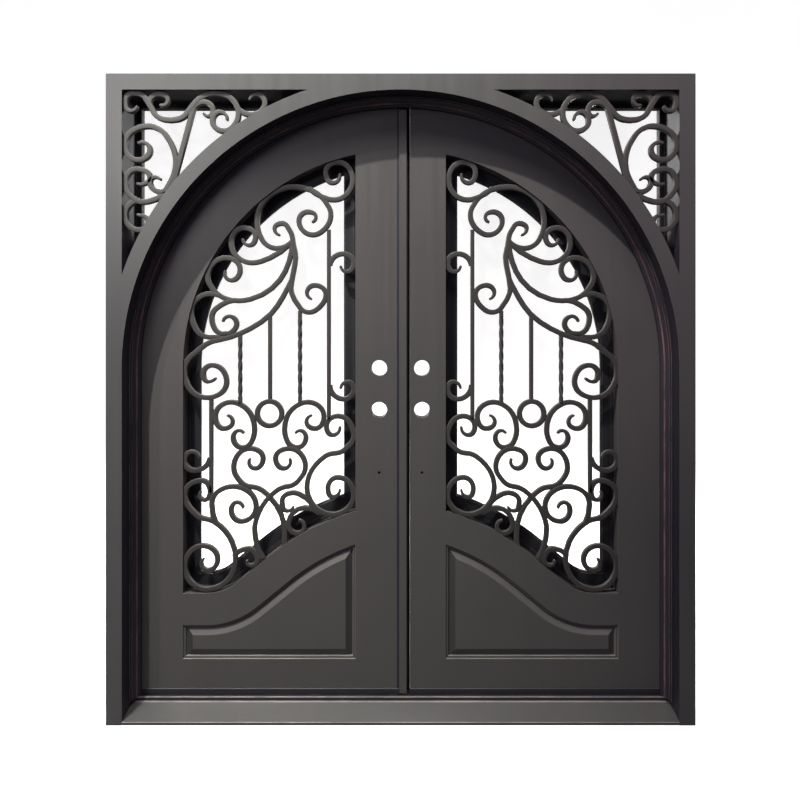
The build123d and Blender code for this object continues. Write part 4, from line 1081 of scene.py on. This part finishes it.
def scroll_bar(stations, narrow_start, narrow_end):
    """Centre line of a scroll with its width: drawn down towards its eyes and rounded at their tips."""
    line = centre_line(stations)
    lengths = [0.0]
    for before, after in zip(line, line[1:]):
        lengths.append(lengths[-1] + hypot(after[0] - before[0], after[1] - before[1]))
    bar = []
    for (x, z, heading), length in zip(line, lengths):
        width = BAR_WIDTH
        for narrow, reach in ((narrow_start, length), (narrow_end, lengths[-1] - length)):
            if narrow:
                width -= (BAR_WIDTH - EYE_WIDTH) * max(0.0, 1 - reach / EYE_TAPER)
        bar.append((x, z, heading, width))
    first = tip(bar[0], -1) if narrow_start else []
    last = tip(bar[-1], 1)[::-1] if narrow_end else []
    return first + bar + last


def tip(end, way):
    """Rounded tip beyond the end of a bar, outermost section first."""
    x, z, heading, width = end
    sections = []
    for share in TIP_SHARES:
        reach = way * width / 2 * share
        narrow = width * sqrt(1 - share**2)
        sections.append((x + reach * cos(heading), z + reach * sin(heading), heading, narrow))
    return sections


def straight_bar(x, z_low, z_high):
    steps = max(1, round((z_high - z_low) / UPRIGHT_STEP))
    return [(x, z_low + (z_high - z_low) * i / steps, pi / 2, UPRIGHT_WIDTH) for i in range(steps + 1)]


def layered(low, high, order):
    """Depths of the bar of this order, a hair behind the one before, so that crossings show."""
    sink = LAYER_STEP * (order % LAYERS)
    return (low.y + sink, high.y - BACK_PLAY - sink)


def upright_ends(across, low, high):
    (x, z_low), (_, z_high) = on_leaf([(across, low), (across, high)])
    return x, z_low, z_high


def make_grille(side):
    bars = [(stations, True, True) for stations in TWO_EYED]
    bars.append((across_ring(RING_SCROLL), True, True))
    bars += [(stations, True, False) for stations in EYE_FIRST]
    bars += [(stations, False, True) for stations in EYE_LAST]
    bars.append((SIDE_LINK, False, False))
    lines = [(order, scroll_bar(on_leaf(stations), first, last))
             for order, (stations, first, last) in enumerate(bars)]
    x, z = on_leaf([RING_CENTRE])[0]
    turns = [2 * pi * step / RING_STEPS for step in range(RING_STEPS + 1)]
    ring = [(x + RING_RADIUS * cos(turn), z + RING_RADIUS * sin(turn), turn + pi / 2, BAR_WIDTH)
            for turn in turns]
    lines.append((RING_LAYER, ring))
    for order, bar in enumerate((LOCK_UPRIGHT, RING_UPRIGHT, HINGE_UPRIGHT)):
        lines.append((order + UPRIGHT_LAYER, straight_bar(*upright_ends(*bar))))
    for bar in TWISTED_UPRIGHTS:
        x, z_low, z_high = upright_ends(*bar)
        lines.append((STUB_LAYER, straight_bar(x, z_low, z_low + TWIST_STUB)))
        lines.append((STUB_LAYER, straight_bar(x, z_high - TWIST_STUB, z_high)))
    work = ([], [], [])
    for order, line in lines:
        forged_bar(line, work, layered(GRILLE_LOW, GRILLE_HIGH, order))
    return scrollwork_piece(f"{side}_scrollwork", work, LEAF_SCROLL_PAINT, f"{side}_leaf",
                            f"{side}_grille", side)


def scrollwork_piece(name, work, paint, body, replaced, side, smooth_angle=BAR_ANGLE):
    vertices, faces, marks = work
    return piece(name, vertices, faces, [paint, RUBBED_SCROLL], body, [replaced], marks,
                 smooth_angle, side == RIGHT)


def make_twisted_bars(side):
    """Square bars with their edges cut off, twisted between their straight stubs."""
    middle = (GRILLE_LOW.y + GRILLE_HIGH.y) / 2
    half = TWIST_WIDTH / 2
    cut = half - TWIST_CHAMFER
    outline = [(half, -cut), (half, cut), (cut, half), (-cut, half),
               (-half, cut), (-half, -cut), (-cut, -half), (cut, -half)]
    size = len(outline)
    vertices, faces, marks = [], [], []
    for bar in TWISTED_UPRIGHTS:
        x, z_low, z_high = upright_ends(*bar)
        z_low, z_high = z_low + TWIST_STUB, z_high - TWIST_STUB
        quarters = max(1, round(4 * (z_high - z_low) / TWIST_PITCH))
        rows = quarters * TWIST_STEPS
        faces += skin(rows + 1, size, len(vertices))
        marks += [index % 2 for index in range(size)] * rows + [0, 0]
        for row in range(rows + 1):
            turn = pi / 2 * quarters * row / rows
            z = z_low + (z_high - z_low) * row / rows
            for across, deep in outline:
                vertices.append((x + across * cos(turn) - deep * sin(turn),
                                 middle + across * sin(turn) + deep * cos(turn), z))
    return scrollwork_piece(f"{side}_twisted_uprights", (vertices, faces, marks), LEAF_SCROLL_PAINT,
                            f"{side}_leaf", f"{side}_twisted_bars", side, TWIST_ANGLE)


def make_corner_grille(side):
    bars = [(CORNER_RUNNER, True, True), (CORNER_LOW_SCROLL, True, False), (CORNER_BRACE, False, False)]
    bars += [(stations, False, True) for stations in CORNER_CURLS]
    work = ([], [], [])
    for order, (stations, first, last) in enumerate(bars):
        forged_bar(scroll_bar(on_corner(stations), first, last), work,
                   layered(CORNER_GRILLE_LOW, CORNER_GRILLE_HIGH, order))
    return scrollwork_piece(f"{side}_corner_scrollwork", work, SCROLL_PAINT, "frame", f"{side}_corner_grille",
                            side)


# Meeting line and foot

SEAL_PLAY = 0.0002
SEAL_END_PLAY = 0.0006
BULB_STEPS = 8
BULB_FLATNESS = 0.6
BLOCK_LENGTH, BLOCK_PROUD = 0.02, 0.007
BEAD_RIGHT_X = -0.0045  # the strip's front stands to the right of this
BEAD_WIDTH, BEAD_PROUD = 0.0085, 0.0005
BEAD_FOOT, BEAD_CROWN = 0.005, 0.029  # how far the bead ends short of the sill and the arch
BEAD_SLANT = 0.0004
SUNK = 0.001  # how far trim is let into the leaf's face
DRIP_PROUD = 0.0028
DRIP_LOW, DRIP_HIGH = 0.0015, 0.0245
DRIP_BEVEL = (0.0024, 0.009)  # how far its lower edge is cut back, and up
DRIP_ROUND, DRIP_RISE = 0.001, 0.0008
DRIP_HINGE_PLAY, DRIP_MEETING_PLAY = 0.027, 0.001


def tall_bar(name, outline, low, top_radius, material, replaced):
    """Upright bar of this (x, y) outline on the left leaf, cut off at the top along an arch line."""
    vertices = [(x, y, low) for x, y in outline]
    vertices += [(x, y, SPRING_Z + sqrt(top_radius**2 - x**2)) for x, y in outline]
    return piece(name, vertices, skin(2, len(outline)), [material], "left_leaf", replaced, None,
                 BAR_ANGLE)


def make_meeting_seal():
    """Bulb of rubber on the strip's lip; a block at its foot closes the gap past the leaf."""
    flat, nose = SEAL_LOW.x, RIGHT_MEETING_X - SEAL_PLAY
    middle, half = (SEAL_LOW.y + SEAL_HIGH.y) / 2, (SEAL_HIGH.y - SEAL_LOW.y) / 2
    foot = SILL_HIGH.z + SEAL_END_PLAY
    outline = [(flat, SEAL_HIGH.y), (flat, SEAL_LOW.y)]
    for step in range(BULB_STEPS + 1):
        angle = radians(-90 + 180 * step / BULB_STEPS)
        outline.append((nose - half * (1 - cos(angle)) * BULB_FLATNESS, middle + half * sin(angle)))
    tall_bar("bulb_seal", outline, foot, ARCH_RADIUS - SEAL_END_PLAY, RUBBER, ["meeting_seal"])
    far_x, near_y = LEFT_MEETING_X + BLOCK_LENGTH, SEAL_LOW.y - BLOCK_PROUD
    lip = [(STRIP_HIGH.x, SEAL_HIGH.y), (far_x, SEAL_HIGH.y), (far_x, near_y), (STRIP_HIGH.x, near_y)]
    block = [(x, y, z) for z in (foot, LEAF_BOTTOM) for x, y in lip]
    piece("lower_dust_block", block, skin(2, len(lip)), [RUBBER], "left_leaf", [])


def make_strip_shade_line():
    """Dark bead in the corner between the strip and the left leaf's face: painted shade standing in for the
    dark groove there.
    """
    left, front, root = BEAD_RIGHT_X - BEAD_WIDTH, LEAF_FRONT - BEAD_PROUD, LEAF_FRONT + SUNK
    outline = [(left, root), (left + BEAD_SLANT, front), (BEAD_RIGHT_X, front), (BEAD_RIGHT_X, root)]
    tall_bar("strip_shade_line", outline, STOP_LOW.z + BEAD_FOOT, ARCH_RADIUS - BEAD_CROWN, DARK_SHADE_PAINT,
             [])


def make_drip(side):
    """Strip along the foot of a leaf that throws water clear of the sill stop; its dark paint is painted
    shade.
    """
    low, high = LEAF_BOTTOM + DRIP_LOW, LEAF_BOTTOM + DRIP_HIGH
    front, root = LEAF_FRONT - DRIP_PROUD, LEAF_FRONT + SUNK
    section = [(root, low, 0), (front + DRIP_BEVEL[0], low, 0), (front, low + DRIP_BEVEL[1], 0),
               (front, high - DRIP_ROUND, 1), (front + DRIP_ROUND, high, 0), (root, high + DRIP_RISE, 0)]
    return bar_along(f"{side}_drip", section, DRIP_HINGE_PLAY - ARCH_RADIUS,
                     meeting_edge(side) - DRIP_MEETING_PLAY, [DARK_SHADE_PAINT, DULL_COPPER], f"{side}_leaf",
                     [], DRIP_ANGLE, side == RIGHT)


# Build

make_surround()
make_stop_moulding()
make_sill()
make_sill_stop()
for side in (LEFT, RIGHT):
    make_leaf_skin(side)
    make_panel(side)
    make_sash(side)
    make_grille(side)
    make_twisted_bars(side)
    make_corner_grille(side)
    make_corner_sash(side)
    make_drip(side)
    for bearer, body in (("jamb", "frame"), ("leaf", f"{side}_leaf")):
        eased_copy(f"{side}_{bearer}_barrels", f"{side}_{bearer}_knuckles", [HINGE_PAINT, RUBBED_EDGE], body,
                   BARREL_EASING)
make_meeting_seal()
make_strip_shade_line()
eased_copy("astragal", "meeting_strip", [LEAF_PAINT, LEAF_PAINT], "left_leaf", STRIP_EASING)

KEPT_NODES = (
    (GLASS, ("left_glass", "right_glass", "left_corner_glass", "right_corner_glass")),
    (RUBBER, ("left_seal", "right_seal")),
)
for material, names in KEPT_NODES:
    for name in names:
        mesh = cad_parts[name].data
        mesh.materials.clear()
        mesh.materials.append(material)
        mesh.set_sharp_from_angle(angle=radians(PANE_ANGLE))


# Studio

PAPER_WHITE = (0.96, 0.96, 0.945)
PAPER_GLOW = 0.93
PAPER_DULL = (0.12, 0.12, 0.12)
PAPER_LIGHT = 0.02
FLOOR_Z = -0.0005
FLOOR_NEAR, FLOOR_FAR = -14.0, 3.4
SWEEP_RADIUS = 2.2
SWEEP_STEPS = 24
BACKDROP_TOP = 9.0
BACKDROP_HALF_WIDTH = 16.0


def paper(name):
    """Pale paper that shows white and keeps a faint shadow, but throws little light on the door."""
    made, tree, shader = new_material(name)
    faint = spread(tree, noise(tree, on_piece(tree), 0.4, 3.0), 0.3, 0.7, 0.985, 1.0)
    tint = mix_colour(tree, faint, (0, 0, 0), PAPER_WHITE)
    seen = node(tree, "ShaderNodeLightPath").outputs["Is Camera Ray"]
    feed(tree, shader, Base_Color=mix_colour(tree, seen, PAPER_DULL, tint), Emission_Color=tint,
         Emission_Strength=plus(tree, times(tree, seen, PAPER_GLOW), PAPER_LIGHT), Roughness=0.85,
         Specular_IOR_Level=0.0)
    return made


def sweep_backdrop():
    """Floor that curves up into a backdrop behind the door."""
    profile = [(FLOOR_NEAR, FLOOR_Z), (FLOOR_FAR, FLOOR_Z)]
    for step in range(1, SWEEP_STEPS + 1):
        angle = radians(90 * step / SWEEP_STEPS)
        profile.append((FLOOR_FAR + SWEEP_RADIUS * sin(angle), FLOOR_Z + SWEEP_RADIUS * (1 - cos(angle))))
    profile.append((FLOOR_FAR + SWEEP_RADIUS, BACKDROP_TOP))
    vertices = [(x, y, z) for y, z in profile for x in (-BACKDROP_HALF_WIDTH, BACKDROP_HALF_WIDTH)]
    faces = [(2 * i, 2 * i + 1, 2 * i + 3, 2 * i + 2) for i in range(len(profile) - 1)]
    mesh = bpy.data.meshes.new("backdrop")
    mesh.from_pydata(vertices, [], faces)
    mesh.materials.append(paper("backdrop_paper"))
    for polygon in mesh.polygons:
        polygon.use_smooth = True
    in_scene("backdrop", mesh)


def hang_lamp(lamp, place, target, power, colour):
    lamp.energy = power
    lamp.color = colour
    made = in_scene(lamp.name, lamp)
    made.location = place
    made.rotation_euler = (Vector(target) - Vector(place)).to_track_quat("-Z", "Y").to_euler()
    return made


def soft_lamp(name, place, target, size, power, colour):
    lamp = bpy.data.lights.new(name, "AREA")
    lamp.shape = "DISK"
    lamp.size = size
    hang_lamp(lamp, place, target, power, colour).visible_camera = False


def spot_lamp(name, place, target, half_angle, power, colour):
    """Small hard lamp whose beam fades smoothly from its middle to its edge."""
    lamp = bpy.data.lights.new(name, "SPOT")
    lamp.shadow_soft_size = 0.08
    lamp.spot_size = radians(2 * half_angle)
    lamp.spot_blend = 1.0
    hang_lamp(lamp, place, target, power, colour)


def studio_world():
    """Dim room light, brighter from overhead, that shows as pale as the backdrop."""
    made = bpy.data.worlds.new("studio")
    made.use_nodes = True
    tree = made.node_tree
    where = node(tree, "ShaderNodeTexCoord").outputs["Generated"]
    height = node(tree, "ShaderNodeSeparateXYZ", Vector=where).outputs["Z"]
    room = mix_colour(tree, spread(tree, height, 0.05, 0.95), (0.03, 0.04, 0.10), (0.20, 0.14, 0.18))
    seen = node(tree, "ShaderNodeLightPath").outputs["Is Camera Ray"]
    feed(tree, tree.nodes["Background"], Color=mix_colour(tree, seen, room, (0.90, 0.90, 0.89)), Strength=1.0)
    return made


sweep_backdrop()
bpy.context.scene.world = studio_world()

# The key lamp stands high at the left, in front, and fades over the door from its upper left corner
KEY_DIRECTION = Vector((0.072, 0.092, -0.186)).normalized()
KEY_DISTANCE = 7.0
KEY_PLACE = Vector((-0.1, 0.0, 1.95)) - KEY_DIRECTION * KEY_DISTANCE
spot_lamp("key", KEY_PLACE, (-1.1, 0.0, 3.0), 15.0, 4300.0, (0.96, 1.0, 0.91))
spot_lamp("key_low", (-3.5, -2.93, 6.6), (-0.6, 0.0, 0.9), 13.0, 520.0, (1.0, 0.965, 0.94))
spot_lamp("key_right", KEY_PLACE, (0.75, 0.0, 2.6), 9.0, 2250.0, (1.0, 0.86, 0.88))
soft_lamp("top_box", (-0.1, -1.3, 4.2), (-0.1, 0.0, 0.3), 1.4, 55.0, (0.98, 1.0, 0.92))
soft_lamp("soft_box", (-2.0, -2.4, 2.6), (-0.7, 0.0, 1.5), 1.2, 21.0, (1.0, 0.96, 0.97))

# Soft boxes behind the door, for its inner side
soft_lamp("inside_left", (-2.3, 2.9, 3.0), (-0.2, 0.0, 1.0), 1.8, 170.0, (1.0, 0.99, 0.97))
soft_lamp("inside_right", (2.3, 2.9, 2.6), (0.2, 0.0, 1.0), 1.8, 110.0, (1.0, 0.99, 0.98))

# The camera stands close in front of the door, level, and looks straight at it
CAMERA_PLACE = (0.0, -1.946, 1.211)
CAMERA_LENS = 26.41
CAMERA_SHIFT = (-0.0008, -0.0681)
camera_data = bpy.data.cameras.new("camera")
camera_data.sensor_width = 36.0
camera_data.lens = CAMERA_LENS
camera_data.shift_x = CAMERA_SHIFT[0]
camera_data.shift_y = CAMERA_SHIFT[1]
camera = in_scene("camera", camera_data)
camera.location = CAMERA_PLACE
camera.rotation_euler = (radians(90), 0, 0)
bpy.context.scene.camera = camera
bpy.context.scene.view_settings.view_transform = "Standard"
